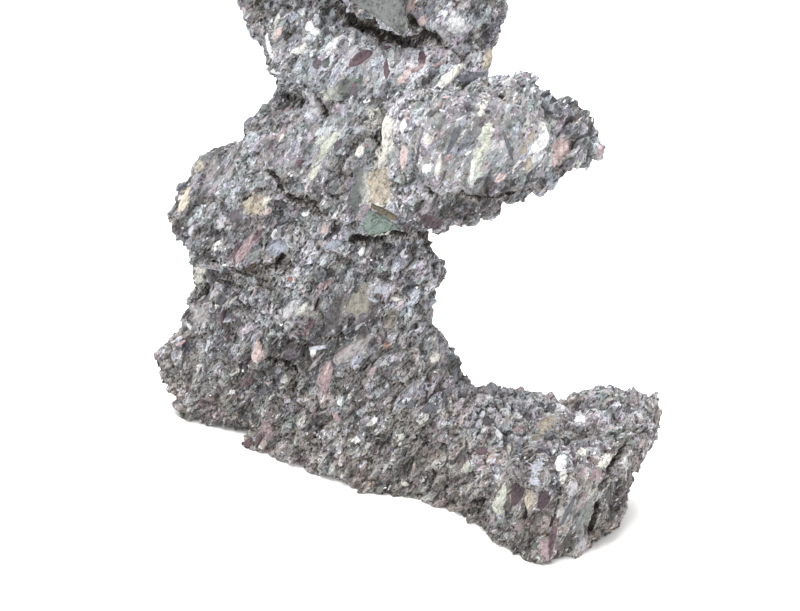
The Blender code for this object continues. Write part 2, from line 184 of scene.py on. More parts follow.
# Coloured areas of the skin: stone, centre, length, width, lean and strength.
# The lean is seen in the photograph, in degrees from its right edge to its top.
STAINS = {
    # The brown of the cleft, of its right end and of the notch is painted shade with some dirt.
    "brown of the cleft": ("brown", (371, 22), 32, 8.5, -32, 0.9),
    "brown right of the cleft": ("brown", (422, 38), 17, 4.5, -8, 0.75),
    "brown of the notch": ("brown", (411, 24), 9, 5, -62, 0.75),
    "sandy patch beside the vein": ("cream", (382, 187), 19, 14, 72, 1.3),
    "vein along the shelf": ("cream", (383, 119), 11, 8, -40, 1.3),
    "vein below": ("cream", (387, 134), 14, 5, 100, 1.3),
    "vein's foot": ("cream", (379, 156), 12, 3.6, 76, 1),
    # Painted shade with some dirt in the hollow beside the vein.
    "olive hollow": ("olive", (378, 138), 8, 3.6, 85, 0.85),
    "sandy patch of the bulge": ("sand", (257, 205), 16, 10, 20, 0.74),
    "pale side of that patch": ("cream", (267, 203), 8, 5, 60, 0.8),
    "speckled patch of the trunk": ("khaki", (358, 306), 13, 11.5, 60, 0.9),
    "tail of that patch": ("khaki", (363, 288), 8, 4, 60, 0.8),
    "speckled patch beside it": ("khaki", (391, 318), 11, 6, 78, 0.85),
    "pale patch of the neck": ("pale green", (327, 95), 9, 7, 20, 0.75),
    "green patch of the neck": ("moss", (348, 87), 18, 10, 20, 0.72),
    "mint patch of the neck": ("green", (357, 78), 9, 4, 30, 0.45),
    "bridge over the neck": ("pale grey", (311, 103), 14, 4.4, -60, 0.8),
    "yellow patch of the crown": ("cream", (300, 49), 6, 5, 30, 0.8),
    "green of the crown": ("pale green", (396, 60), 12, 4.5, 80, 0.55),
    "lilac of the crown": ("lilac", (384, 88), 8, 4, 70, 0.6),
    "pink of the crown's rim": ("pink", (404, 82), 8, 3.4, 35, 0.6),
    "blue patch of the cap": ("slate", (485, 40), 7, 6, 70, 0.55),
    "purple band of the bulge": ("pink", (246, 247), 17, 6.5, 58, 0.7),
    "lilac over that band": ("lilac", (262, 224), 10, 4, 50, 0.6),
    "dark round of the bulge": ("dark lilac", (226, 207), 5, 4.6, 30, 0.85),
    # Painted shade with some dirt under the bulge.
    "brown under the bulge": ("olive", (277, 262), 6, 4, 10, 0.85),
    "pink band of the trunk": ("pink", (324, 285), 11, 4, 28, 0.75),
    "red patch of the trunk": ("pink", (307, 329), 8, 5, 60, 0.6),
    "red-brown of the trunk": ("maroon", (247, 382), 8, 6, 30, 0.65),
    # Painted shade that a ledge casts over the trunk's valley.
    "dark side of the trunk": ("dark grey", (334, 313), 22, 10, 68, 0.7),
    "slate of the trunk": ("slate", (262, 391), 14, 5.5, 25, 0.65),
    "green low at the left": ("green grey", (222, 356), 8, 6, 40, 0.85),
    "slate of the right side": ("slate", (442, 398), 16, 9, 20, 0.5),
    "rusty bit under the plate": ("brown", (427, 240), 6, 3.4, 85, 0.9),
    "maroon rim of the crown": ("dark lilac", (258, 42), 17, 4, -62, 0.7),
    "pink of the cap": ("salmon", (411, 4), 8, 5, 60, 0.85),
    "blue stripe of the cap": ("blue", (428, 13), 12, 4, 62, 0.6),
    "grey of the cap": ("slate", (472, 12), 14, 9, 80, 0.5),
    "grey beside the sand": ("moss", (358, 190), 24, 9, 80, 0.75),
    "green of the shelf": ("green grey", (438, 118), 8, 6.5, 40, 0.85),
    "yellow band of the shelf": ("pale green", (485, 138), 13, 5.4, 75, 1.1),
    "yellow band below": ("pale green", (477, 162), 13, 4.6, 78, 0.9),
    "yellow band above": ("cream", (484, 106), 10, 3, 72, 0.85),
    "purple of the shelf": ("dark lilac", (466, 103), 5, 4, 60, 0.7),
    "brown streak of the shelf": ("dark lilac", (469, 115), 7, 2.6, 75, 0.6),
    "pink of the shelf": ("salmon", (557, 153), 14, 7.5, 60, 0.9),
    "blue of the left foot": ("slate", (187, 346), 10, 4.5, 70, 0.85),
    "tan of the right foot": ("peach", (548, 420), 8, 5, 62, 0.9),
    "pale lens of the right foot": ("cream", (606, 460), 8.5, 5, 50, 0.85),
    "pink of the right foot": ("pink", (596, 475), 6, 5, 70, 0.7),
    "slate of the right foot": ("slate", (608, 479), 6, 5, 50, 0.8),
    "pink band of the right foot": ("pink", (582, 500), 14, 4, 45, 0.55),
    "green of the right foot": ("slate", (583, 515), 12, 5, 60, 0.7),
    "red of the right foot": ("pink", (633, 462), 6.5, 4, 75, 0.75),
    "pink at the toe": ("pink", (545, 549), 9, 5, 75, 0.8),
    "green of the toe": ("green grey", (577, 545), 12, 6, 60, 0.55),
    "peach of the left edge": ("peach", (184, 199), 13, 6, 64, 1.2),
    "cream above the left edge": ("tan", (200, 166), 6.5, 4.5, 60, 0.85),
    "cream below the left edge": ("cream", (198, 271), 9, 6, 80, 0.85),
    "tan at the left sole": ("tan", (232, 418), 6.5, 4, 80, 0.85),
    "dark of the bulge": ("dark lilac", (200, 199), 6.5, 5, 30, 0.85),
    "tan of that patch": ("tan", (252, 200), 9, 6, 20, 0.7),
    # Painted shade with some dirt in the hollow over the bulge and the joint under it.
    "brown over the bulge": ("brown", (306, 204), 17, 7.5, -28, 0.75),
    "brown of the joint under the bulge": ("brown", (259, 269), 24, 3.4, 3, 0.85),
    "blue dark at the left": ("slate", (212, 277), 10, 5, -60, 1),
    "white streaks of the bulge": ("white", (215, 246), 12, 4.5, 25, 0.6),
    "blue white of the bulge": ("pale blue", (230, 184), 8, 5, 40, 0.6),
    "white above the round": ("white", (219, 197), 7, 3.4, 60, 0.55),
    "pale under the cleft": ("pale grey", (396, 54), 15, 6.5, 25, 0.5),
}

# Lighter and darker areas, painted light and shade where light falls and partly the stone's own tone: how
# much, and where, as above.
PAINTED_LIGHT_AND_TONES = {
    "pale front of the crown": (0.26, (340, 48), 60, 30, 20),
    "pale side of the crown": (0.2, (425, 60), 36, 16, 10),
    "pale middle": (0.08, (310, 140), 40, 26, 50),
    "pale under the crown": (0.12, (400, 105), 30, 16, 60),
    "dark top of the bulge": (-0.19, (218, 158), 28, 12, 40),
    "pale middle of the shelf": (-0.03, (455, 130), 26, 30, 60),
    "pale side of the cap": (0.22, (468, 22), 34, 26, 60),
    "pale tip of the shelf": (0.24, (545, 152), 24, 18, 30),
    "dark top of the tip": (-0.2, (570, 110), 26, 16, -35),
    "shade under the shelf": (-0.38, (462, 208), 48, 11, 16),
    "shade under the green plate": (-0.16, (395, 246), 30, 7, 0),
    "pale ground under the bulge": (0.18, (238, 286), 46, 10, 0),
    "dark flank of the trunk": (-0.31, (280, 353), 44, 18, 30),
    "dark foot of the trunk": (-0.16, (350, 428), 90, 28, -20),
    "dark left of the trunk": (-0.13, (244, 394), 34, 26, 60),
    "pale right of the trunk": (0.14, (415, 290), 36, 22, 80),
    "pale low on the trunk": (0.2, (330, 402), 46, 14, 5),
    "pale of the upper trunk": (0.1, (310, 255), 30, 16, 40),
    "pale saddle of the foot": (0.33, (550, 396), 64, 14, 0),
    "pale top of the foot": (0.26, (600, 410), 44, 22, 5),
    "pale front of the foot's top": (0.12, (500, 430), 40, 22, 5),
    "dark front of the foot": (-0.17, (524, 500), 44, 36, 60),
    "dark back lump": (-0.16, (613, 506), 28, 12, 75),
    "pale face of the foot": (0.08, (582, 522), 24, 7, 58),
    "top edge of the shelf": (-0.22, (505, 84), 22, 9, 10),
    "shade of the neck's front": (-0.08, (350, 96), 22, 10, 30),
    "shade of the left edge": (-0.1, (196, 245), 60, 24, 90),
    "dark middle of the trunk": (-0.23, (332, 350), 44, 22, 40),
    "shade on the foot": (-0.08, (550, 470), 22, 18, 0),
    "pale hollow of the back": (0.16, (450, 398), 24, 20, 0),
    "pale top before the saddle": (0.1, (510, 403), 44, 12, 0),
    "pale side of the foot": (0.1, (592, 450), 18, 16, 0),
    "pale under the cleft": (0.34, (396, 55), 22, 12, 15),
    "pale top of the shelf": (0.07, (500, 104), 40, 12, -10),
    "pale on the foot": (0.09, (568, 456), 40, 14, 0),
    "pale top of the crown": (0.18, (310, 10), 26, 14, 0),
    "pale beside the vein": (0.24, (368, 116), 12, 12, 0),
    "shade on the shelf": (-0.18, (517, 129), 14, 12, 60),
    "pale over the bulge": (0.08, (252, 156), 18, 14, 40),
    "pale low at the right": (0.12, (422, 474), 16, 10, -20),
    "pale left foot": (0.07, (192, 350), 22, 18, 0),
    "pale over the shade of the shelf": (0.16, (424, 197), 28, 8, 10),
    "dark under the sand": (-0.3, (408, 228), 12, 7, 0),
    "shade of the vein's side": (-0.1, (400, 150), 10, 14, 0),
    "pale lens of the cap": (0.14, (458, 26), 15, 12, 12),
    "pale low on the bulge": (0.1, (245, 250), 24, 8, 20),
    "pale right of the crown": (0.14, (468, 58), 20, 14, 0),
    "dark cleft beside the cap": (-0.18, (360, 14), 14, 5, -40),
}

# Smoother areas: how much of the relief is left off, and where, as above.
CALM = {
    "front of the shelf": (0.65, (482, 140), 84, 44, 15),
    "top of the bulge": (0.6, (214, 168), 36, 24, 45),
    "left edge of the crown": (0.5, (262, 45), 42, 14, -65),
    "grey beside the sand": (0.8, (360, 188), 26, 11, 85),
    "plate of the cap": (0.7, (390, 14), 26, 14, -42),
    "face of the foot": (0.5, (585, 512), 38, 20, 62),
    "front of the crown": (0.35, (350, 60), 76, 34, 10),
    "green patch of the neck": (0.45, (346, 87), 24, 12, 15),
    "middle": (0.4, (305, 140), 62, 36, 45),
    "sandy patch of the bulge": (0.35, (260, 204), 18, 12, 20),
    "strips of the left side": (0.75, (197, 310), 24, 13, 48),
    "dark side of the trunk": (0.65, (334, 315), 26, 13, 68),
    "sand of the trunk": (0.65, (359, 303), 18, 15, 60),
    "striped plate of the trunk": (0.6, (348, 352), 28, 9, 32),
    "right edge of the trunk": (0.6, (444, 330), 26, 9, -66),
    "cream lens of the cap": (0.8, (458, 26), 15, 12, 12),
    "vein": (0.6, (386, 140), 30, 9, 97),
    "tan of the foot": (0.55, (551, 420), 14, 8, 60),
}

# Lenses: stone, centre, length, width and lean, as above, and how far they stand out.
LENSES = {
    "purple lens of the crown": ("maroon", (361, 59), 14, 6, 37, 0.5),
    "pale rim over that lens": ("pale grey", (352, 51), 9, 2.6, 45, 0.3),
    "upright lens of the crown": ("maroon", (422, 58), 6.5, 3.4, 80, 0.35),
    "purple streak of the crown": ("maroon", (386, 69), 10, 2.4, 88, 0.35),
    "salmon of the crown": ("salmon", (408, 73), 7.5, 2.8, 42, 0.35),
    "pale salmon of the crown": ("salmon", (402, 80), 6.4, 2.8, 35, 0.35),
    "pink of the crown": ("pink", (418, 68), 8, 2, 30, 0.35),
    "pink of the rim": ("pink", (438, 65), 6.5, 2.4, 20, 0.35),
    "cream lens of the crown": ("cream", (449, 77), 17.5, 5, 41, 0.8),
    "cream lens of the cap": ("white", (458, 26), 12, 9, 12, 1.4),
    "rim of that lens": ("pale grey", (444, 34), 10, 4, -50, 0.4),
    "pink of the cap": ("salmon", (422, 21), 5, 3.6, 60, 0.35),
    "first dot of the cap": ("white", (445, 13), 3.4, 2.8, 10, 0.4),
    "second dot of the cap": ("white", (453, 13), 3, 2.8, 80, 0.4),
    "sandy edge of the cap": ("peach", (489, 58), 9, 4.6, 68, 0.35),
    "pink edge of the crown": ("salmon", (277, 33), 8, 3.6, 50, 0.35),
    "white strip of the crown's edge": ("white", (268, 45), 14, 2.4, 99, 0.35),
    "white of the crown": ("white", (333, 42), 11.5, 2.6, 40, 0.35),
    "white below the cap": ("white", (364, 39), 5, 3, 75, 0.35),
    "white beside it": ("white", (352, 37), 6.5, 3, 68, 0.35),
    "first pale bit of the crown": ("white", (309, 26), 5, 4, 60, 0.35),
    "second pale bit of the crown": ("white", (316, 32), 4.4, 3, 10, 0.35),
    "third pale bit of the crown": ("white", (302, 12), 4.4, 3.2, 40, 0.35),
    "fourth pale bit of the crown": ("white", (296, 51), 4.6, 3, 10, 0.35),
    "slate bit of the crown": ("slate", (326, 32), 5.4, 3.8, 70, 0.3),
    "moss bit of the crown": ("moss", (326, 62), 5.6, 3.6, 62, 0.3),
    "lilac bit of the crown": ("dark lilac", (316, 63), 5.6, 3.2, 72, 0.3),
    "pink bit of the neck": ("dark lilac", (354, 91), 5, 4, 40, 0.3),
    "pink rim of the neck": ("pink", (288, 108), 6, 2.2, 35, 0.35),
    "long cream lens": ("pale green", (327, 148), 16.5, 6, 62, 0.7),
    "tail of the long lens": ("pale green", (315, 173), 10, 2.6, 60, 0.5),
    "sand": ("sand", (381, 186), 18, 12, 74, 0.5),
    "pale rim of the sand": ("cream", (392, 195), 12, 2.6, 62, 0.6),
    "vein": ("cream", (386, 140), 26, 7, 97, 0.9),
    "head of the vein": ("cream", (381, 117), 10.5, 7, -35, 0.5),
    "pale green beside it": ("pale green", (321, 140), 5.5, 3, 65, 0.35),
    "cream of the middle": ("cream", (360, 151), 6, 4, 60, 0.35),
    "blue of the middle": ("pale blue", (308, 115), 6, 4.4, 30, 0.35),
    "pink streak of the middle": ("pink", (281, 135), 8, 2.4, 50, 0.35),
    "purple of the middle": ("dark lilac", (271, 144), 6, 2.2, 68, 0.35),
    "brown of the middle": ("maroon", (299, 163), 4.6, 3, 30, 0.35),
    "lilac of the middle": ("dark lilac", (338, 145), 7, 3.4, 62, 0.35),
    "green plate": ("green", (379, 222), 20, 13, -14, 0.9),
    "brown rim of the plate": ("olive", (385, 211), 14.5, 2.6, -30, 0.7),
    "pale rim of the plate": ("cream", (382, 234), 8, 1.5, 10, 0.8),
    "blue beside the sand": ("pale blue", (391, 206), 6.4, 3, 70, 0.35),
    "white over the bulge": ("white", (305, 214), 3.8, 2.4, 15, 0.35),
    "pale pink over the trunk": ("salmon", (325, 229), 5, 3.4, 40, 0.35),
    "salmon of the shelf": ("salmon", (404, 157), 15, 3.6, 86, 0.4),
    "pink line of the shelf": ("pink", (406, 114), 7, 1.8, 84, 0.5),
    "white line of the shelf": ("white", (403, 126), 6.5, 3.2, 75, 0.4),
    "cream of the shelf": ("cream", (427, 140), 6, 4.4, 25, 0.4),
    "purple line of the shelf": ("dark lilac", (418, 155), 7, 2, 82, 0.35),
    "pink bit of the shelf": ("pink", (448, 158), 3.8, 3.2, 60, 0.35),
    "white of the shelf": ("white", (427, 168), 5.2, 4, 50, 0.35),
    "cream line of the shelf": ("cream", (438, 166), 9.5, 2.6, 80, 0.35),
    "slate streak of the shelf": ("slate", (454, 138), 15, 3, 68, 0.3),
    "white splash of the shelf": ("pale grey", (497, 146), 6.5, 3.2, 25, 0.35),
    "white streak of the shelf": ("white", (472, 172), 10, 2.2, 84, 0.35),
    "white lens of the shelf": ("white", (541, 144), 13.5, 6.5, 50, 0.6),
    "first tan of the shelf": ("tan", (530, 138), 5.6, 3.4, 60, 0.35),
    "second tan of the shelf": ("tan", (523, 149), 5.6, 3, 75, 0.35),
    "brown of the shelf": ("tan", (529, 167), 5, 2.8, 70, 0.35),
    "salmon bit of the shelf": ("salmon", (500, 178), 5.6, 3.6, 30, 0.35),
    "slate of the shelf": ("slate", (509, 147), 12, 1.9, -72, 0.35),
    "pale top of the horn": ("pale grey", (507, 81), 6, 4.2, 60, 0.35),
    "pink tip of the shelf": ("pink", (601, 150), 6, 3.4, 70, 0.35),
    "purple plate of the shelf": ("purple", (430, 221), 13, 6, -12, 0.4),
    "lilac plate of the shelf": ("lilac", (426, 208), 9, 3.2, 58, 0.35),
    "peach of the left edge": ("peach", (184, 200), 13, 4.6, 64, 0.6),
    "tan above the left edge": ("tan", (200, 167), 5.6, 4, 64, 0.5),
    "blue at the left edge": ("pale blue", (191, 230), 5, 2.6, 70, 0.35),
    "pale of the bulge": ("pale grey", (220, 224), 6.4, 4.6, 60, 0.4),
    "dark round of the bulge": ("dark lilac", (235, 215), 6.4, 5.6, 40, 0.5),
    "dark bit of the bulge": ("dark grey", (199, 201), 5, 4.4, 40, 0.35),
    "purple of the bulge": ("pink", (245, 249), 15, 5, 60, 0.4),
    "left rim of that purple": ("maroon", (236, 252), 12, 2.2, 76, 0.5),
    "right rim of that purple": ("maroon", (257, 236), 9, 2.2, 48, 0.5),
    "blue block of the bulge": ("blue", (279, 248), 9.5, 8, 20, 0.9),
    "green lens of the bulge": ("green grey", (254, 256), 8, 5, 35, 0.6),
    "cream of the left side": ("cream", (199, 269), 6.6, 5, 75, 0.7),
    "green of the left side": ("pale green", (199, 279), 5.4, 4.4, 75, 0.5),
    "slate wedge of the left side": ("dark grey", (213, 279), 13, 5.4, -70, 0.5),
    "first strip of the left side": ("fawn", (192, 309), 19, 3.4, 43, 0.5),
    "second strip of the left side": ("fawn", (203, 314), 17, 3.6, 55, 0.5),
    "third strip of the left side": ("pale grey", (213, 294), 10, 2, 62, 0.4),
    "white wedge of the left side": ("pale blue", (227, 321), 5.6, 2, 8, 0.5),
    "white bit of the left side": ("white", (190, 327), 4.6, 2.6, -60, 0.5),
    "maroon column of the trunk": ("maroon", (222, 318), 10, 2.2, 84, 0.35),
    "dark bit of the trunk": ("dark grey", (239, 322), 7, 3.6, 65, 0.35),
    "dark upright of the trunk": ("slate", (224, 297), 9, 2.4, 64, 0.35),
    "orange bit of the trunk": ("rust", (291, 279), 3.4, 2.8, 60, 0.6),
    "orange bit at the right": ("rust", (387, 345), 3, 2.8, 50, 0.5),
    "pink lens of the trunk": ("pink", (325, 380), 17, 7.4, 76, 1.3),
    "light side of that lens": ("salmon", (328, 370), 9, 2.6, 68, 1.4),
    "tan spike of the trunk": ("salmon", (257, 350), 14, 6, 86, 1.3),
    "dark side of that spike": ("green grey", (265, 350), 10, 3, 80, 0.5),
    "white cluster of the trunk": ("pale blue", (318, 348), 9, 4, 12, 0.4),
    "white drop of the trunk": ("white", (313, 353), 4.6, 2.8, 70, 0.6),
    "lilac bar of the trunk": ("lilac", (315, 363), 12.5, 2.2, 50, 0.5),
    "lilac rim of the crack": ("lilac", (299, 376), 8, 2.4, 76, 0.6),
    "maroon of the trunk": ("maroon", (311, 324), 6.4, 3.4, 50, 0.35),
    "dark line of the trunk": ("dark lilac", (330, 313), 7.4, 3.2, 80, 0.35),
    "dark of the upper lump": ("dark lilac", (291, 354), 8, 6, 40, 0.35),
    "white beside the sand": ("pale blue", (372, 299), 6, 2, -22, 0.5),
    "yellow rim of the trunk": ("cream", (397, 299), 6, 2, -5, 0.6),
    "first white under the rim": ("pale blue", (393, 306), 4, 1.6, 85, 0.4),
    "second white under the rim": ("pale blue", (406, 304), 3.6, 1.6, 75, 0.4),
    "white below the sand": ("pale grey", (345, 328), 4, 1.8, 60, 0.4),
    "white right of the sand": ("pale grey", (358, 327), 4.6, 1.8, 45, 0.4),
    "pale blue of the trunk": ("pale blue", (381, 289), 7, 4, 20, 0.35),
    "blue patch of the trunk": ("blue", (333, 245), 9.5, 4.5, 15, 0.4),
    "white under the green plate": ("white", (361, 251), 5, 3, 70, 0.4),
    "pink bit of the trunk": ("pink", (372, 371), 5.2, 3, 60, 0.35),
    "blue oval of the trunk": ("slate", (411, 405), 4.4, 3.8, 80, 0.35),
    "white oval of the trunk": ("white", (375, 420), 4, 2.4, 78, 0.35),
    "green lens low on the trunk": ("pale green", (401, 437), 4.8, 2.6, 60, 0.35),
    "pink low on the trunk": ("pink", (336, 417), 6.4, 3, -62, 0.35),
    "white bit low at the left": ("pale blue", (288, 401), 3, 1.8, 30, 0.35),
    "white bit beside it": ("pale blue", (299, 400), 2.6, 1.4, 75, 0.4),
    "pink low at the left": ("pink", (267, 428), 11, 5, -70, 0.5),
    "brown low at the left": ("maroon", (246, 444), 5, 4, 60, 0.35),
    "white of the left foot": ("white", (232, 392), 4, 3, 30, 0.35),
    "white near the sole": ("white", (356, 440), 4.6, 3.2, 10, 0.35),
    "dark slate of the trunk": ("slate", (431, 408), 7.5, 4.4, 15, 0.35),
    "white point of the trunk": ("cream", (436, 358), 6, 4.6, 40, 0.5),
    "tan line low down": ("tan", (414, 467), 6, 1.8, 86, 0.35),
    "cream bit low down": ("cream", (405, 484), 4.4, 2.4, -20, 0.35),
    "pale bit between the feet": ("pale green", (467, 467), 7.4, 4.2, 72, 0.35),
    "maroon of the foot": ("maroon", (481, 451), 6.4, 4.4, 15, 0.35),
    "dark round of the foot": ("dark grey", (487, 421), 6, 5.2, 20, 0.35),
    "white wedge of the foot": ("white", (499, 434), 6, 2.8, -65, 0.35),
    "pale point of the foot": ("pale green", (498, 500), 17.5, 6.6, 77, 0.7),
    "maroon beside the point": ("purple", (517, 495), 15, 6, 62, 0.4),
    "tan of the slit": ("sand", (529, 500), 11, 4.6, 78, 0.6),
    "maroon past the slit": ("purple", (544, 500), 9.5, 6, 55, 0.4),
    "yellow of the foot": ("sand", (548, 421), 10.5, 5.2, 62, 0.7),
    "yellow below": ("khaki", (537, 437), 6.4, 3.2, 18, 0.6),
    "pink of the foot": ("pink", (519, 428), 8, 2, 24, 0.35),
    "cream line of the foot": ("cream", (509, 449), 5.4, 2, 80, 0.35),
    "cream dot of the foot": ("cream", (582, 452), 5, 4.6, 30, 0.5),
    "cream fan of the foot": ("cream", (605, 461), 8, 3.6, 50, 0.4),
    "white top of the foot": ("white", (580, 418), 6, 5, 30, 0.5),
    "white beside the yellow": ("white", (561, 408), 5.4, 3.4, -10, 0.5),
    "white of the foot": ("white", (561, 463), 7.6, 5.4, 70, 0.5),
    "cream below that": ("cream", (563, 476), 6.4, 3.4, 80, 0.4),
    "blue white of the foot": ("pale blue", (537, 468), 8, 5, 60, 0.4),
    "pale blue below": ("pale blue", (534, 481), 6, 4, -50, 0.4),
    "pale oval of the foot": ("pale grey", (572, 488), 7.4, 5, 75, 0.4),
    "pink of the back": ("pink", (596, 475), 6.4, 4.6, 70, 0.4),
    "maroon blade of the toe": ("maroon", (553, 534), 20, 2.8, 80, 0.5),
    "pink blade of the toe": ("pink", (545, 550), 11, 4, -72, 0.4),
    "pale blade of the toe": ("pale green", (597, 522), 12, 1.6, 70, 0.4),
    "pale blade below": ("pale grey", (583, 543), 10, 4, 60, 0.35),
    "striped plate of the trunk": ("fawn", (349, 351), 25, 6.6, 33, 0.5),
    "first stripe of that plate": ("pink", (341, 352), 11, 1.1, 36, 1),
    "second stripe of that plate": ("pale grey", (357, 346), 12, 1.2, 34, 1),
    "pale plate below the bulge": ("pale grey", (291, 309), 11, 5.6, 50, 0.5),
    "second pale plate": ("pale green", (302, 309), 8.5, 3.4, 48, 0.5),
    "plate of the cap": ("green grey", (389, 11), 24, 10, -40, 0.5),
    "slate strip of the foot": ("slate", (568, 512), 17, 2.4, 64, 0.3),
    "pale strip of the foot": ("fawn", (577, 508), 15, 1.8, 57, 0.4),
    "dark slab of the foot": ("green grey", (584, 516), 14, 3.6, 62, 0.3),
    "grey strip of the foot": ("dark grey", (566, 540), 13, 2.2, 66, 0.3),
    "plate of the crown's side": ("slate", (470, 77), 15, 5, 15, 0.4),
    "pink bit of the toe": ("pink", (519, 527), 3.8, 3, 30, 0.35),
    "blue top of the plate": ("blue", (376, 3), 17, 7, -38, 0.6),
}

# Lenses whose outline is drawn, as pixels. The others are ovals, each worn in
# its own way.
OUTLINES = {
    "purple lens of the crown": [(348, 68), (350, 60), (357, 53), (363, 49), (372, 50), (373, 54),
        (366, 60), (357, 66)],
    "cream lens of the crown": [(463, 62), (455, 67), (448, 73), (440, 77), (436, 84), (441, 90),
        (447, 88), (452, 81), (458, 74), (464, 67)],
    "cream lens of the cap": [(447, 20), (452, 17), (460, 16), (466, 19), (467, 27), (462, 32),
        (453, 34), (447, 30)],
    "long cream lens": [(331, 133), (337, 133), (336, 141), (331, 148), (325, 158), (319, 167),
        (316, 166), (318, 156), (320, 147), (326, 140)],
    "sand": [(373, 168), (382, 167), (391, 173), (396, 181), (398, 192), (391, 200), (384, 206),
        (374, 203), (366, 204), (370, 193), (366, 182), (369, 174)],
    "vein": [(386, 113), (393, 119), (392, 131), (389, 145), (386, 158), (381, 170), (378, 168),
        (381, 156), (383, 142), (382, 130), (379, 121)],
    "green plate": [(368, 209), (376, 212), (385, 217), (394, 222), (400, 227), (394, 232), (383, 235),
        (371, 237), (361, 233), (363, 223)],
    "brown rim of the plate": [(370, 203), (379, 206), (389, 211), (398, 217), (399, 221), (390, 219),
        (380, 213), (371, 208)],
    "white lens of the shelf": [(549, 131), (551, 138), (547, 147), (538, 153), (530, 156), (531, 149),
        (536, 142), (543, 135)],
    "purple plate of the shelf": [(417, 214), (430, 214), (444, 219), (437, 231), (425, 227)],
    "peach of the left edge": [(190, 185), (192, 192), (187, 200), (182, 210), (177, 213), (177, 204),
        (181, 195), (185, 188)],
    "purple of the bulge": [(262, 226), (265, 231), (258, 241), (250, 251), (242, 261), (234, 266),
        (231, 260), (238, 250), (246, 240), (254, 231)],
    "blue block of the bulge": [(271, 241), (280, 239), (287, 243), (286, 251), (279, 257), (270, 255),
        (267, 248)],
    "cream of the left side": [(194, 263), (201, 263), (206, 271), (203, 280), (197, 283), (192, 275)],
    "slate wedge of the left side": [(206, 267), (214, 273), (219, 283), (217, 293), (211, 297),
        (207, 284)],
    "pink lens of the trunk": [(332, 358), (335, 369), (330, 385), (327, 398), (322, 392), (317, 381),
        (320, 369), (325, 363)],
    "tan spike of the trunk": [(258, 334), (261, 344), (266, 352), (264, 361), (256, 363), (250, 359),
        (254, 349)],
    "white cluster of the trunk": [(306, 348), (314, 346), (325, 345), (327, 348), (318, 350),
        (314, 355), (309, 353)],
    "striped plate of the trunk": [(329, 363), (337, 353), (349, 345), (363, 339), (376, 333),
        (373, 341), (360, 352), (347, 361), (335, 368)],
    "pale point of the foot": [(504, 482), (505, 492), (504, 503), (500, 515), (494, 516), (490, 508),
        (494, 499), (499, 490)],
    "maroon beside the point": [(513, 482), (519, 484), (525, 489), (522, 498), (517, 505), (509, 508),
        (510, 499), (509, 490)],
    "tan of the slit": [(526, 489), (532, 491), (534, 499), (532, 508), (527, 512), (524, 506), (523, 499)],
    "maroon past the slit": [(541, 489), (548, 490), (551, 497), (548, 505), (541, 511), (537, 507),
        (538, 498)],
    "plate of the cap": [(344, -6), (352, 4), (362, 12), (374, 20), (386, 27), (396, 33), (404, 38),
        (408, 34), (408, 24), (405, 12), (403, -6)],
}


# The stone's colours as the screen shows them, and what each is for.
COLOURS = {
    "dark grey": ((82, 80, 81), "Darkest grains"),
    "grey": ((154, 152, 153), "Most of the stone"),
    "pale grey": ((188, 186, 190), "Light grains"),
    "slate": ((97, 99, 107), "Blue grey splinters"),
    "lilac": ((155, 149, 154), "Purple grey splinters"),
    "dark lilac": ((91, 84, 91), "Dark purple grey splinters"),
    "green grey": ((127, 131, 129), "Green grey splinters"),
    "moss": ((92, 96, 95), "Dark green grey areas"),
    "green": ((122, 138, 129), "The green plate"),
    "pale green": ((203, 207, 196), "Pale green splinters"),
    "pale blue": ((190, 193, 203), "Pale blue grey splinters"),
    "white": ((245, 245, 247), "White crystals"),
    "cream": ((223, 221, 213), "Cream splinters"),
    "tan": ((178, 170, 156), "Sandy splinters"),
    "khaki": ((150, 145, 135), "Speckled sandy areas"),
    # Olive brown is painted shade as well as dirt in the hollows.
    "olive": ((104, 94, 74), "Olive brown dirt in the hollows"),
    "pink": ((167, 147, 150), "Pink splinters"),
    "salmon": ((206, 186, 184), "Salmon splinters"),
    "maroon": ((102, 82, 89), "Maroon splinters"),
    "sand": ((191, 182, 167), "The sandy vein"),
    "peach": ((224, 212, 197), "Pale sandy edges"),
    "fawn": ((163, 157, 158), "Striped strips"),
    "blue": ((163, 168, 181), "Blue grey blocks"),
    # Brown is painted shade as well as dirt in the clefts.
    "brown": ((80, 71, 62), "Brown dirt in the clefts"),
    "purple": ((76, 60, 66), "Dark purple lenses"),
    "rust": ((164, 116, 98), "Rusty bits"),
}

# How each kind of bit looks: its length in millimetres, its width as a share of
# that and its thickness as a share of the width, how far it stands out as a
# share of its thickness, its tilt, its corners, how much its tone varies, the
# deepest hollow that it sits in, and its calm. Then its stones with their
# parts, the part of plain grey ones, what the other parts are scaled by and how
# strong their colours are, how much it keeps to clusters, and whether it is
# only where the skin is turned from the viewer.
Grain = namedtuple(
    "Grain", "length slimness flatness proud tilt corners tone_spread deepest calm"
    " stones plain scale strength clustered turned", defaults=(0, 1, 1.0, 0.0, False))
SOFT = (
    ("slate", 2), ("lilac", 2), ("green grey", 2), ("pink", 1), ("dark lilac", 1.4),
    ("dark grey", 2), ("cream", 0.7), ("maroon", 0.5), ("pale grey", 1.5))
BOLD = SOFT + (("salmon", 0.5), ("maroon", 0.8), ("pink", 0.8), ("pale green", 0.6))
GLINTS = (("white", 5), ("pale blue", 3), ("cream", 1), ("pale grey", 3))
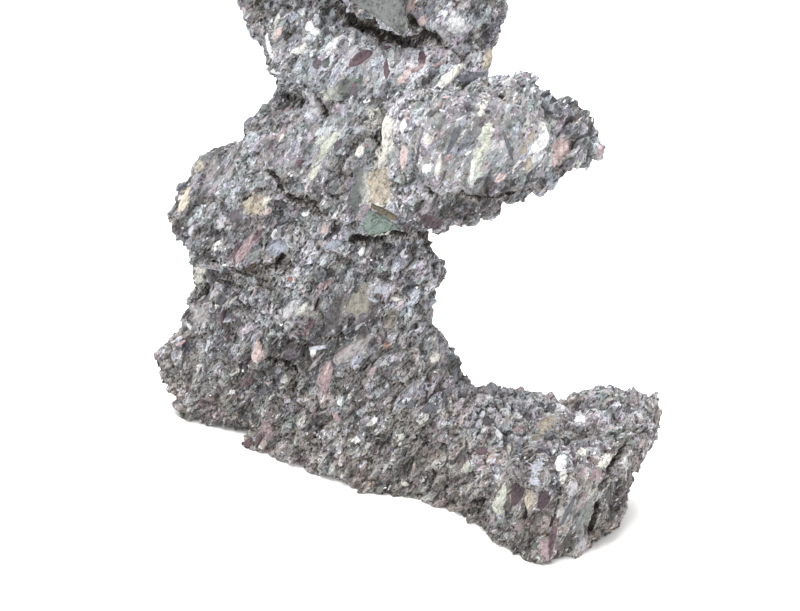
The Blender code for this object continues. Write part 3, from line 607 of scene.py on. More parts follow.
GRAINS = {
    "lumps": Grain(
        (3.0, 8.5), (0.5, 0.85), (0.5, 0.9), (0.04, 0.32), 0.32, 20, 0.17, 0.2, (0.1, 0.9),
        SOFT, plain=13, scale=0.12, strength=0.75),
    "crumbs": Grain(
        (1.4, 4.4), (0.5, 0.85), (0.55, 0.95), (0.04, 0.38), 0.34, 10, 0.11, 0.6, (0.0, 0.6),
        SOFT, plain=13, scale=0.14, strength=0.75),
    "flakes": Grain(
        (1.6, 5.5), (0.3, 0.65), (0.4, 0.8), (0.12, 0.4), 0.3, 10, 0.10, 0.3, (0.0, 0.8),
        SOFT, plain=13, scale=0.6, strength=0.75),
    "crystals": Grain(
        (1.2, 4.2), (0.4, 0.8), (0.4, 0.8), (0.02, 0.24), 0.3, 12, 0.0, 0.1, (0.0, 0.4),
        GLINTS, clustered=0.8),
    "splinters": Grain(
        (4.0, 8.5), (0.24, 0.5), (0.45, 0.8), (0.05, 0.22), 0.12, 26, 0.12, 0.1, (0.1, 0.9),
        BOLD, plain=5),
    "slabs": Grain(
        (6.0, 14.0), (0.28, 0.5), (0.4, 0.6), (0.14, 0.34), 0.08, 34, 0.1, 0.1, (0.2, 0.9),
        BOLD, turned=True),
}


def value_of(name, description, default, **kind):
    """A setting that is a number."""
    return bpy.props.FloatProperty(name=name, description=description, default=default, **kind)


def size_of(name, description, default, **limits):
    """A setting that is a length in metres."""
    return value_of(name, description, default, unit="LENGTH", subtype="DISTANCE", **limits)


def number_of(name, description, default, low=0):
    """A setting that counts something."""
    return bpy.props.IntProperty(name=name, description=description, default=default, min=low)


def colour_of(name, description, default):
    """A setting that is a linear colour."""
    return bpy.props.FloatVectorProperty(
        name=name, description=description, default=default, size=3, subtype="COLOR")


class BodySettings(bpy.types.PropertyGroup):
    cell: size_of("Skin mesh", "Size of the cells of the body's mesh", 0.00115, min=0.0008)
    faces: number_of("Faces", "Triangles that the body is thinned to after its relief", 195000, 1000)
    softening: number_of("Softening", "Rounds of smoothing that take the solid's flat facets off", 10)
    ledge_size: size_of("Ledge size", "Width of the broken ledges", 0.014)
    ledge_height: size_of("Ledge height", "How far ledges stand out", 0.0017)
    lump_size: size_of("Lump size", "Width of the lumps on the ledges", 0.0072)
    lump_height: size_of("Lump height", "How far lumps stand out", 0.0016)
    knob_size: size_of("Knob size", "Width of the smallest knobs of the skin", 0.0037)
    knob_height: size_of("Knob height", "How far knobs stand out", 0.00085)
    pit_size: size_of("Pit spacing", "Distance between the places where a grain may have fallen out", 0.005)
    pit_depth: size_of("Pit depth", "Depth of the pits that fallen grains left", 0.0022)
    pit_share: value_of(
        "Pit share", "Share of those places that are pits", 0.26, min=0.0, max=1.0, subtype="FACTOR")
    joint_size: size_of("Joint spacing", "Distance between the open joints of the skin", 0.011)
    joint_depth: size_of("Joint depth", "Depth of the open joints", 0.0028)


class ColourSettings(bpy.types.PropertyGroup):
    __annotations__ = {
        name.replace(" ", "_"): colour_of(name.capitalize(), use, tint(*screen))
        for name, (screen, use) in COLOURS.items()}


class GrainSettings(bpy.types.PropertyGroup):
    lumps: number_of("Lumps", "Number of larger lumps of the stone's own mass", 4600)
    crumbs: number_of("Crumbs", "Number of crumbs of the stone's own mass", 7000)
    flakes: number_of("Flakes", "Number of flat flakes", 6000)
    crystals: number_of("Crystals", "Number of places where a pale crystal may sit", 7000)
    splinters: number_of("Splinters", "Number of larger scattered splinters", 1300)
    slabs: number_of(
        "Slabs", "Number of larger flat splinters, of which only the turned sides keep theirs", 620)
    seed: bpy.props.IntProperty(
        name="Seed", description="What the scattered bits' places are drawn from", default=41)


class StageSettings(bpy.types.PropertyGroup):
    camera_place: bpy.props.FloatVectorProperty(
        name="Camera", description="Where the camera stands", size=3, unit="LENGTH", subtype="TRANSLATION",
        default=(0.00557, -0.64095, 0.33975))
    camera_fall: value_of(
        "Look down", "How far the camera looks down", math.radians(22.0), unit="ROTATION", subtype="ANGLE")
    camera_lens: value_of("Lens", "Focal length of the camera", 65.0, unit="CAMERA")
    sensor: value_of("Sensor", "Width of the camera's sensor", 36.0, unit="CAMERA")
    floor_size: size_of("Floor", "Radius of the floor", 9.0)
    floor_colour: colour_of("Floor colour", "Colour of the floor", (0.97, 0.97, 0.96))
    sky: value_of("Sky", "Strength of the light from all round", 1.03, min=0.0)
    top_power: value_of("Top light", "Power of the soft light above", 51.0, unit="POWER")
    front_power: value_of("Front light", "Power of the soft light at the front", 18.0, unit="POWER")


# Making of meshes

def added(name, data):
    """A new object of the scene with this data."""
    made = bpy.data.objects.new(name, data)
    bpy.context.scene.collection.objects.link(made)
    return made


def evaluated(mesh, add_modifiers):
    """The mesh as it is under the modifiers that are added to an object of it."""
    holder = added("holder", mesh)
    add_modifiers(holder)
    graph = bpy.context.evaluated_depsgraph_get()
    result = bpy.data.meshes.new_from_object(holder.evaluated_get(graph))
    bpy.data.objects.remove(holder)
    return result


def skin_of(solid, cell, softening):
    """A fine, even mesh over the solid, with the solid's facets softened."""
    def add_modifiers(holder):
        remesh = holder.modifiers.new("Skin", "REMESH")
        remesh.mode = "VOXEL"
        remesh.voxel_size = cell
        smooth = holder.modifiers.new("Soften", "SMOOTH")
        smooth.factor = 0.5
        smooth.iterations = softening
    return evaluated(solid, add_modifiers)


def thinned(mesh, faces):
    """The mesh with about this many triangles, most of them where its form is finest."""
    mesh.calc_loop_triangles()
    share = min(1.0, faces / len(mesh.loop_triangles))

    def add_modifiers(holder):
        thin = holder.modifiers.new("Thin", "DECIMATE")
        thin.ratio = share
    return evaluated(mesh, add_modifiers)


def vectors_of(items, name):
    """A three-number value of all the mesh's items, as an array."""
    found = np.empty(len(items) * 3, np.float32)
    items.foreach_get(name, found)
    return found.reshape(-1, 3).astype(float)


def stand_on_floor(mesh, points):
    """Move the mesh's vertices to the points, in millimetres, and none of them under the floor."""
    points[:, 2] = np.maximum(points[:, 2], 0.0)
    mesh.vertices.foreach_set("co", (points * MM).astype(np.float32).ravel())
    mesh.update()


def unit(vectors):
    """The vectors at a length of one."""
    return vectors / np.maximum(np.linalg.norm(vectors, axis=-1, keepdims=True), 1e-9)


def camera_turn():
    """How the camera is turned, as a matrix."""
    return Matrix.Rotation(math.pi / 2 - bpy.context.scene.rock_stage.camera_fall, 3, "X")


# A place's normal is taken from the skin this far round it, in millimetres. A
# line of sight that misses the stone is searched for the skin's nearest point
# at these steps, and no triangle with all of its corners lower than the sole
# carries a bit.
NORMAL_REACH = 3.0
SEARCH = range(-150, 151, 5)
SOLE = 0.6


class Skin:
    """The surface that bits are set into, in millimetres."""

    def __init__(self, mesh):
        mesh.calc_loop_triangles()
        self.points = vectors_of(mesh.vertices, "co") / MM
        self.normals = vectors_of(mesh.vertices, "normal")
        triangles = np.empty(len(mesh.loop_triangles) * 3, np.int32)
        mesh.loop_triangles.foreach_get("vertices", triangles)
        self.triangles = triangles.reshape(-1, 3)
        self.tree = BVHTree.FromPolygons(self.points.tolist(), self.triangles.tolist())
        self.shades = None

    def seen_at(self, pixel):
        """The point of the skin behind a pixel of the photograph, its normal and the line of sight."""
        stage = bpy.context.scene.rock_stage
        scale = stage.sensor / stage.camera_lens / PICTURE_WIDTH
        across = (pixel[0] - PICTURE_WIDTH / 2) * scale
        up = (PICTURE_HEIGHT / 2 - pixel[1]) * scale
        sight = (camera_turn() @ Vector((across, up, -1.0))).normalized()
        start = Vector(stage.camera_place) / MM
        place, normal, _, _ = self.tree.ray_cast(start, sight)
        if place is None:
            nearest = [self.tree.find_nearest(start + sight * (start.length + step)) for step in SEARCH]
            place, normal, _, _ = min(nearest, key=lambda found: found[3])
        near = self.tree.find_nearest_range(place, NORMAL_REACH)
        normal = sum((item[1] for item in near), Vector()).normalized() if near else normal
        return place, normal, sight

    def gaps_to_cuts(self, places):
        """How far each place is from the nearest cut of the skin."""
        floors = self.points[self.shades[:, HOLLOW] > CUT_FLOOR]
        tree = KDTree(len(floors))
        for index, floor in enumerate(floors):
            tree.insert(floor, index)
        tree.balance()
        return np.array([tree.find(place)[2] for place in places])

    def spread(self, number, rng):
        """Evenly scattered places on the skin above the sole, and the normals and shades there."""
        corners = self.points[self.triangles]
        across = np.cross(corners[:, 1] - corners[:, 0], corners[:, 2] - corners[:, 0])
        area = np.linalg.norm(across, axis=1)
        area[corners[:, :, 2].max(axis=1) < SOLE] = 0.0
        picked = rng.choice(len(area), number, p=area / area.sum())
        first, second = rng.random(number), rng.random(number)
        over = first + second > 1
        first[over], second[over] = 1 - first[over], 1 - second[over]
        start, left, right = corners[picked].transpose(1, 0, 2)
        places = start + first[:, None] * (left - start) + second[:, None] * (right - start)
        normals = unit(self.normals[self.triangles[picked]].mean(axis=1))
        return places, normals, self.shades[self.triangles[picked, 0]]


# Skin that the viewer sees flatter than this is taken to be this flat.
FLATTEST = -0.45


def leaning_axes(normal, sight, lean):
    """Axes on the skin of a mark that leans so in the photograph: along it, across it and out.

    The first two are as long as the slope of the skin asks for, so that the
    mark keeps its form as it is seen.
    """
    turn = camera_turn()
    angle = math.radians(lean)
    facing = min(normal.dot(sight), FLATTEST)
    axes = []
    for x, y in ((math.cos(angle), math.sin(angle)), (-math.sin(angle), math.cos(angle))):
        seen = turn @ Vector((x, y, 0.0))
        axes.append(seen - sight * (seen.dot(normal) / facing))
    return axes[0], axes[1], normal


# Relief of the body

def in_grain(point, size):
    """The point in units of this size, stretched along the grain."""
    return Vector((
        point.dot(GRAIN_ALONG) / (size * GRAIN_LENGTH),
        point.dot(GRAIN_ACROSS) / size,
        point.dot(GRAIN_NORMAL) / (size * GRAIN_THICKNESS),
    ))


# What the middle of a cell is multiplied by, so that the facets' tilts, their
# levels and the pits each have draws of their own, and what parts the patterns
# of lumps and knobs from the one of the ledges.
TILT_DRAW, LEVEL_DRAW, PIT_DRAW = 7.3, 3.1, 9.7
LUMP_SHIFT = Vector((50.0, 0.0, 0.0))
KNOB_SHIFT = Vector((0.0, 50.0, 0.0))
MIDDLE = (0.5, 0.5, 0.5)
STEEPNESS = 2.4


def facets(point, size, height):
    """Height of a surface broken into tilted flat facets of this size."""
    place = in_grain(point, size)
    centre = noise.voronoi(place)[1][0]
    tilt = noise.cell_vector(centre * TILT_DRAW) - Vector(MIDDLE)
    slope = (place - centre).dot(tilt) * STEEPNESS
    return height * (slope + noise.noise(centre * LEVEL_DRAW))


def pit(point, size, share):
    """How far into a pit that a fallen grain left: 1 at its floor."""
    distances, centres = noise.voronoi(in_grain(point, size))
    if noise.cell(centres[0] * PIT_DRAW) > share * 2.0 - 1.0:
        return 0.0
    return max(0.0, 1.0 - (distances[0] / 0.5) ** 2)


def crevice(point, size):
    """How far into an open joint between fragments of this size: 1 at its floor."""
    bent = point + noise.noise_vector(point / size) * (0.35 * size)
    distances, _ = noise.voronoi(in_grain(bent, size))
    opening = 0.12 + 0.18 * noise.noise(point / (2.0 * size))
    if opening <= 0.0:
        return 0.0
    return max(0.0, 1.0 - (distances[1] - distances[0]) / opening)


def relief(point, body):
    """How far the skin stands out at a point, in millimetres, and how far into a hole the point is."""
    ledges = facets(point, body.ledge_size / MM, body.ledge_height / MM)
    lumps = facets(point + LUMP_SHIFT, body.lump_size / MM, body.lump_height / MM)
    knobs = facets(point + KNOB_SHIFT, body.knob_size / MM, body.knob_height / MM)
    pits = pit(point, body.pit_size / MM, body.pit_share)
    joints = crevice(point, body.joint_size / MM)
    height = ledges + lumps + knobs - pits * body.pit_depth / MM - joints * body.joint_depth / MM
    return height, max(pits, joints)


# A line of a cut is walked in steps of this many pixels.
LINE_STEP = 3.0


def closeness(points, skin, pixels, width):
    """1 on the line through the pixels and 0 from half the width away, for each point."""
    nearest = np.full(len(points), np.inf)
    for start, end in zip(pixels, pixels[1:]):
        steps = max(1, round(math.dist(start, end) / LINE_STEP))
        for share in (step / steps for step in range(steps + 1)):
            pixel = [a + (b - a) * share for a, b in zip(start, end)]
            spot = np.array(skin.seen_at(pixel)[0])
            nearest = np.minimum(nearest, np.linalg.norm(points - spot, axis=1))
    return (1 - (nearest / (width / 2)) ** 2).clip(0)


# A mark goes at least this deep into the stone. Stains and the room for a lens
# end at this many times the way to the edge of their mark, and fade over this
# much of it. Fainter stains are left out.
MARK_DEPTH = 6.0
STAIN_END, STAIN_FADE = 1.45, 0.9
LENS_END, LENS_FADE = 1.5, 0.6
FAINTEST = 0.02


def reach_of(points, skin, pixel, length, width, lean):
    """How far each point is from a mark's middle: 1 is the mark's edge."""
    place, normal, sight = skin.seen_at(pixel)
    to_axes = np.linalg.inv(np.array(leaning_axes(normal, sight, lean)))
    halves = np.array((length / 2, width / 2, max(length, MARK_DEPTH) / 2))
    return np.linalg.norm((points - np.array(place)) @ to_axes / halves, axis=1)


def shaded(skin):
    """The shade of each point of the skin: its stain, its tone with painted light and shade, no hollow yet,
    and its calm.
    """
    colours = stone_colours()
    shades = np.zeros((len(skin.points), SHADE))
    for stone, *mark, strength in STAINS.values():
        reach = reach_of(skin.points, skin, *mark)
        weight = strength * ((STAIN_END - reach) / STAIN_FADE).clip(0, 1)
        over = weight > FAINTEST
        blend = weight[over, None]
        mixed = shades[over, :3] * (1 - blend) + colours[stone] * blend
        stained = shades[over, STRENGTH, None] > 0
        shades[over, :3] = np.where(stained, mixed, colours[stone])
        shades[over, STRENGTH] = np.maximum(shades[over, STRENGTH], weight[over])
    # Painted light and shade, partly the stone's own tone.
    for change, *mark in PAINTED_LIGHT_AND_TONES.values():
        shades[:, TONE_AND_LIGHT] += change * np.exp(-(reach_of(skin.points, skin, *mark) ** 2))
    for share, *mark in CALM.values():
        calm = share * np.exp(-(reach_of(skin.points, skin, *mark) ** 4))
        shades[:, QUIET] = np.maximum(shades[:, QUIET], calm)
    return shades


# How cuts are jagged: the size of the jags in millimetres and how much they
# change a cut, how much wider than its table says a cut starts, and the powers
# that make its floor narrow and its shadow wide.
JAG_SIZE = 2.6
JAG_CHANGE = 0.6
CUT_SPREAD = 1.5
FLOOR_POWER, SHADOW_POWER = 1.5, 0.4


def cut(skin, heights, shades):
    """Sink the cuts into the heights of the skin and write them down as hollows, which the material paints
    with painted shade and some dirt.
    """
    jag = np.array([noise.noise(Vector(point) / JAG_SIZE) for point in skin.points])
    for width, depth, pixels in CUTS.values():
        near = closeness(skin.points + skin.normals * jag[:, None], skin, pixels, width * CUT_SPREAD)
        near = (near * (1.0 + JAG_CHANGE * jag)).clip(0, 1)
        heights -= depth * near ** FLOOR_POWER
        shades[:, HOLLOW] = np.maximum(shades[:, HOLLOW], near ** SHADOW_POWER)


def spurred(skin):
    """How far the spurs lift the skin, and the nicks sink it."""
    heights = np.zeros(len(skin.points))
    for height, width, pixel in SPURS.values():
        gap = np.linalg.norm(skin.points - np.array(skin.seen_at(pixel)[0]), axis=1)
        heights += height * np.exp(-((gap / (width / 2)) ** 2))
    return heights


def under_lenses(skin):
    """1 where a lens lies on the skin and 0 away from it."""
    cover = np.zeros(len(skin.points))
    for _, *mark, _ in LENSES.values():
        reach = reach_of(skin.points, skin, *mark)
        cover = np.maximum(cover, ((LENS_END - reach) / LENS_FADE).clip(0, 1))
    return cover


def stone_colours():
    """Linear colours by the names that the tables use."""
    settings = bpy.context.scene.rock_colours
    return {name: np.array(getattr(settings, name.replace(" ", "_"))) for name in COLOURS}


# Bits set into the skin

# A lens has this many corners at its rim and rings at these shares of the way
# there. Each ring is cast onto the skin from this far over it, over this
# length, and the rings inside TOP_END follow the skin only in part. The rim and
# the root under the middle lie this deep, in millimetres.
SECTORS = 36
RINGS = (0.22, 0.45, 0.65, 0.8, 0.9, 0.97, 1.0)
CAST_HEIGHT, CAST_LENGTH = 5.0, 9.0
TOP_END, TOP_DRAPE = 0.9, 0.6
RIM_DEPTH, ROOT_DEPTH = 0.7, 2.5


def broken_bit(rng, corners):
    """An angular closed bit about two units across, as points and triangles."""
    bm = bmesh.new()
    for direction in unit(rng.normal(size=(corners, 3))):
        bm.verts.new(direction * rng.uniform(0.75, 1.0))
    result = bmesh.ops.convex_hull(bm, input=bm.verts)
    inner = [item for item in result["geom_interior"] if isinstance(item, bmesh.types.BMVert)]
    bmesh.ops.delete(bm, geom=inner, context="VERTS")
    bmesh.ops.recalc_face_normals(bm, faces=bm.faces)
    bm.verts.index_update()
    points = np.array([vertex.co for vertex in bm.verts])
    triangles = np.array([[vertex.index for vertex in face.verts] for face in bm.faces])
    bm.free()
    return points, triangles


def outline_reach(turn, seed):
    """How far a lens reaches in the direction of this turn, as a share of its half length or width."""
    way = Vector((math.cos(turn), math.sin(turn), 0.0))
    shift = Vector((seed * 3.7, seed * 1.3, 5.0))
    roundness = 1.6 + 0.3 * noise.cell(shift)
    pointed = (abs(way.x) ** roundness + abs(way.y) ** roundness) ** (-1 / roundness)
    waves = 0.36 * noise.noise(way * 1.3 + shift) + 0.2 * noise.noise(way * 4.3 + shift)
    return pointed * (1.0 + waves + 0.1 * noise.noise(way * 9.0 + shift))


def oval_rim(axes, length, width, seed):
    """The rim of a worn oval lens, as offsets from its middle."""
    along, across, _ = axes
    wedge = 0.6 * noise.noise(Vector((seed * 1.9, 4.0, 7.0)))
    rim = []
    for step in range(SECTORS):
        turn = math.tau * step / SECTORS
        reach = outline_reach(turn, seed)
        far = math.cos(turn) * reach
        aside = math.sin(turn) * reach * (1.0 + wedge * far)
        rim.append(along * (far * length / 2) + across * (aside * width / 2))
    return rim


def drawn_rim(place, normal, sight, middle, corners):
    """The rim of a lens with these corners in the photograph, as offsets from its middle."""
    stage = bpy.context.scene.rock_stage
    right, up, _ = leaning_axes(normal, sight, 0.0)
    distance = (place - Vector(stage.camera_place) / MM).length
    pixel = distance * stage.sensor / stage.camera_lens / PICTURE_WIDTH
    loop = [Vector(((x - middle[0]) * pixel, (middle[1] - y) * pixel)) for x, y in corners]
    if sum(a.x * b.y - a.y * b.x for a, b in zip(loop, loop[1:] + loop[:1])) < 0:
        loop.reverse()
    loop.append(loop[0])
    ends = [0.0]
    for a, b in zip(loop, loop[1:]):
        ends.append(ends[-1] + (b - a).length)
    rim = []
    for step in range(SECTORS):
        way = ends[-1] * step / SECTORS
        side = max(index for index in range(len(ends) - 1) if ends[index] <= way)
        share = (way - ends[side]) / (ends[side + 1] - ends[side])
        spot = loop[side].lerp(loop[side + 1], share)
        rim.append(right * spot.x + up * spot.y)
    return rim


def draped_lens(skin, place, out, rim, proud, seed):
    """A lens that follows the skin: its points, its triangles and how near its rim each point is."""
    shift = Vector((seed * 2.1, seed * 0.7, 9.0))
    spots = [(Vector(), 0.0)]
    for share in RINGS:
        for offset in rim:
            fray = 1.0 + 0.12 * noise.noise(offset * 0.9 + shift)
            spots.append((offset * (share * fray), share))
    points = []
    for offset, share in spots:
        start = place + offset
        met = skin.tree.ray_cast(start + out * CAST_HEIGHT, -out, CAST_LENGTH)[0]
        base = (met - start).dot(out) if met else 0.0
        worn = 0.5 * proud * noise.noise(offset / 1.8 + shift)
        rise = (proud + worn) * (1.0 - share ** 5) if share < 1.0 else -RIM_DEPTH
        points.append(start + out * (TOP_DRAPE * base + rise if share < TOP_END else base + rise))
    points.append(place - out * ROOT_DEPTH)
    starts = range(1, 1 + len(RINGS) * SECTORS, SECTORS)
    turns = [(i, (i + 1) % SECTORS) for i in range(SECTORS)]
    triangles = [(0, 1 + i, 1 + j) for i, j in turns]
    for inner, outer in zip(starts, starts[1:]):
        for i, j in turns:
            triangles.append((inner + i, outer + i, outer + j))
            triangles.append((inner + i, outer + j, inner + j))
    triangles += [(starts[-1] + j, starts[-1] + i, len(points) - 1) for i, j in turns]
    nearness = np.array([spot[1] for spot in spots] + [1.0])
    return np.array(points), np.array(triangles), nearness


class Bits:
    """Closed bits gathered for one joined mesh."""

    def __init__(self):
        self.points, self.triangles, self.shades, self.count = [], [], [], 0

    def add(self, points, triangles, shades):
        """Add finished geometry in millimetres, with a shade for each point."""
        self.points.append(points)
        self.triangles.append(triangles + self.count)
        self.shades.append(shades)
        self.count += len(points)

    def add_copies(self, form, places, axes, sizes, shades):
        """Add the form once for each place, turned to its axes and scaled to its size."""
        points, triangles = form
        number = len(places)
        turned = np.einsum("nmi,nij->nmj", points[None] * sizes[:, None], axes) + places[:, None]
        offsets = np.arange(number) * len(points)
        joined = (triangles[None] + offsets[:, None, None]).reshape(-1, 3)
        self.add(turned.reshape(-1, 3), joined, np.repeat(shades, len(points), axis=0))

    def object(self, name, material):
        """The joined mesh as an object of the scene, with its shades and material."""
        points = np.concatenate(self.points)
        points[:, 2] = np.maximum(points[:, 2], 0.0)
        mesh = bpy.data.meshes.new(name)
        mesh.from_pydata(points * MM, [], np.concatenate(self.triangles))
        paint(mesh, np.concatenate(self.shades))
        mesh.materials.append(material)
        return added(name, mesh)


def paint(mesh, shades):
    """Write each vertex's shade for the materials to read."""
    layer = mesh.attributes.new("stain", "FLOAT_COLOR", "POINT")
    layer.data.foreach_set("color", shades[:, :4].astype(np.float32).ravel())
    for name, column in LAYERS:
        layer = mesh.attributes.new(name, "FLOAT", "POINT")
        layer.data.foreach_set("value", shades[:, column].astype(np.float32))


def painted(mesh):
    """The shades that were written on the mesh."""
    shades = np.zeros((len(mesh.vertices), SHADE))
    stains = np.empty(len(mesh.vertices) * 4, np.float32)
    mesh.attributes["stain"].data.foreach_get("color", stains)
    shades[:, :4] = stains.reshape(-1, 4)
    for name, column in LAYERS:
        values = np.empty(len(mesh.vertices), np.float32)
        mesh.attributes[name].data.foreach_get("value", values)
        shades[:, column] = values
    return shades


def dress(piece):
    """Say what a finished piece rides on."""
    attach(piece, BODY)


def scattered_axes(normals, tilt, twist, rng):
    """Axes of bits that lie flat in the skin along its grain, but for a random tilt and twist."""
    grain = np.array(GRAIN_ALONG)
    out = unit(normals + rng.normal(scale=tilt, size=normals.shape))
    along = grain - (out @ grain)[:, None] * out
    along = unit(along + rng.normal(scale=twist, size=normals.shape))
    along = unit(along - (along * out).sum(axis=1, keepdims=True) * out)
    return np.stack([along, np.cross(out, along), out], axis=1)


# Bits keep off a lens out to this share of the way to its edge. Beside a drawn
# one they may be this long, in millimetres, at its edge. Beside a cut, they may
# be this long and this much longer for each millimetre away from it.
LENS_COVER = 0.9
RIM_ROOM = 1.5
CUT_ROOM, CUT_ROOM_GROWTH = 0.8, 1.8

# Clusters are about this many millimetres apart. Skin that faces away from the
# viewer by more than TURNED has the turned bits.
CLUSTER_SIZE = 13.0
TURNED = 0.1

# The bits of a group share this many forms. Short bits are the more common by
# this power. They are this much shorter in hollows and lower in calm skin. They
# are turned from the grain by TWIST and vary in brightness by this much.
FORMS = 24
SHORTNESS = 1.6
HOLLOW_SHORTENING = 0.6
CALM_LOWERING = 0.8
TWIST = 0.3
BRIGHTNESS_SPREAD = 0.16


def room_beside_lenses(places, skin):
    """How long a bit may be at each place so that it covers no drawn lens: 0 on a lens."""
    room = np.full(len(places), np.inf)
    for name, (_, *mark, _) in LENSES.items():
        reach = reach_of(places, skin, *mark)
        if name in OUTLINES:
            _, _, width, _ = mark
            room = np.minimum(room, (reach - 1.0) * width + RIM_ROOM)
        room[reach < LENS_COVER] = 0.0
    return room


def kinds_of(group):
    """The kinds of stone of a group: the part, the colour and the colour's strength of each."""
    colours = stone_colours()
    plain = [(group.plain, colours["grey"], 0.0)] if group.plain else []
    return plain + [(part * group.scale, colours[stone], group.strength) for stone, part in group.stones]


def set_in(group, number, skin, seed):
    """Scatter bits over the skin, as the group of settings says."""
    rng = np.random.default_rng(seed)
    places, normals, ground = skin.spread(number, rng)
    room = room_beside_lenses(places, skin)
    kept = (room > 0.0) & (ground[:, HOLLOW] < group.deepest)
    if group.turned:
        kept &= normals[:, 1] > TURNED
    if group.clustered:
        drift = np.array([noise.noise(Vector(place) / CLUSTER_SIZE) for place in places])
        wanted = drift * 2.4 + ground[:, TONE_AND_LIGHT] * 2.0 + group.clustered - 1.0
        kept &= wanted > rng.random(number) - 0.5
    places, normals, ground = places[kept], normals[kept], ground[kept]
    number = len(places)
    low, high = group.length
    longer = (high / low) ** (rng.random(number) ** SHORTNESS)
    long = low * longer * (1.0 - HOLLOW_SHORTENING * ground[:, HOLLOW])
    beside_cuts = CUT_ROOM_GROWTH * skin.gaps_to_cuts(places) + CUT_ROOM
    long = np.minimum(long, np.minimum(room[kept], beside_cuts))
    wide = long * rng.uniform(*group.slimness, number)
    thick = wide * rng.uniform(*group.flatness, number)
    axes = scattered_axes(normals, group.tilt, TWIST, rng)
    out = thick * rng.uniform(*group.proud, number) * (1.0 - CALM_LOWERING * ground[:, QUIET])
    places = places - normals * (thick / 2 - out)[:, None]
    kinds = kinds_of(group)
    shares = np.array([part for part, _, _ in kinds])
    picked = rng.choice(len(kinds), number, p=shares / shares.sum())
    stains = np.array([(*colour, strength) for _, colour, strength in kinds])[picked]
    stains[:, :3] *= np.exp(rng.normal(size=number) * BRIGHTNESS_SPREAD)[:, None]
    shades = ground.copy()
    own = stains[:, STRENGTH] > 0.0
    shades[own, :4] = stains[own].clip(0.0, 1.0)
    shades[:, TONE_AND_LIGHT] += rng.normal(size=number) * group.tone_spread
    shades[:, QUIET] = np.maximum(shades[:, QUIET], rng.uniform(*group.calm, number))
    sizes = np.stack([long, wide, thick], axis=1) / 2
    bits = Bits()
    for form in range(FORMS):
        mine = np.arange(number) % FORMS == form
        shape = broken_bit(rng, group.corners)
        bits.add_copies(shape, places[mine], axes[mine], sizes[mine], shades[mine])
    return bits


# Materials

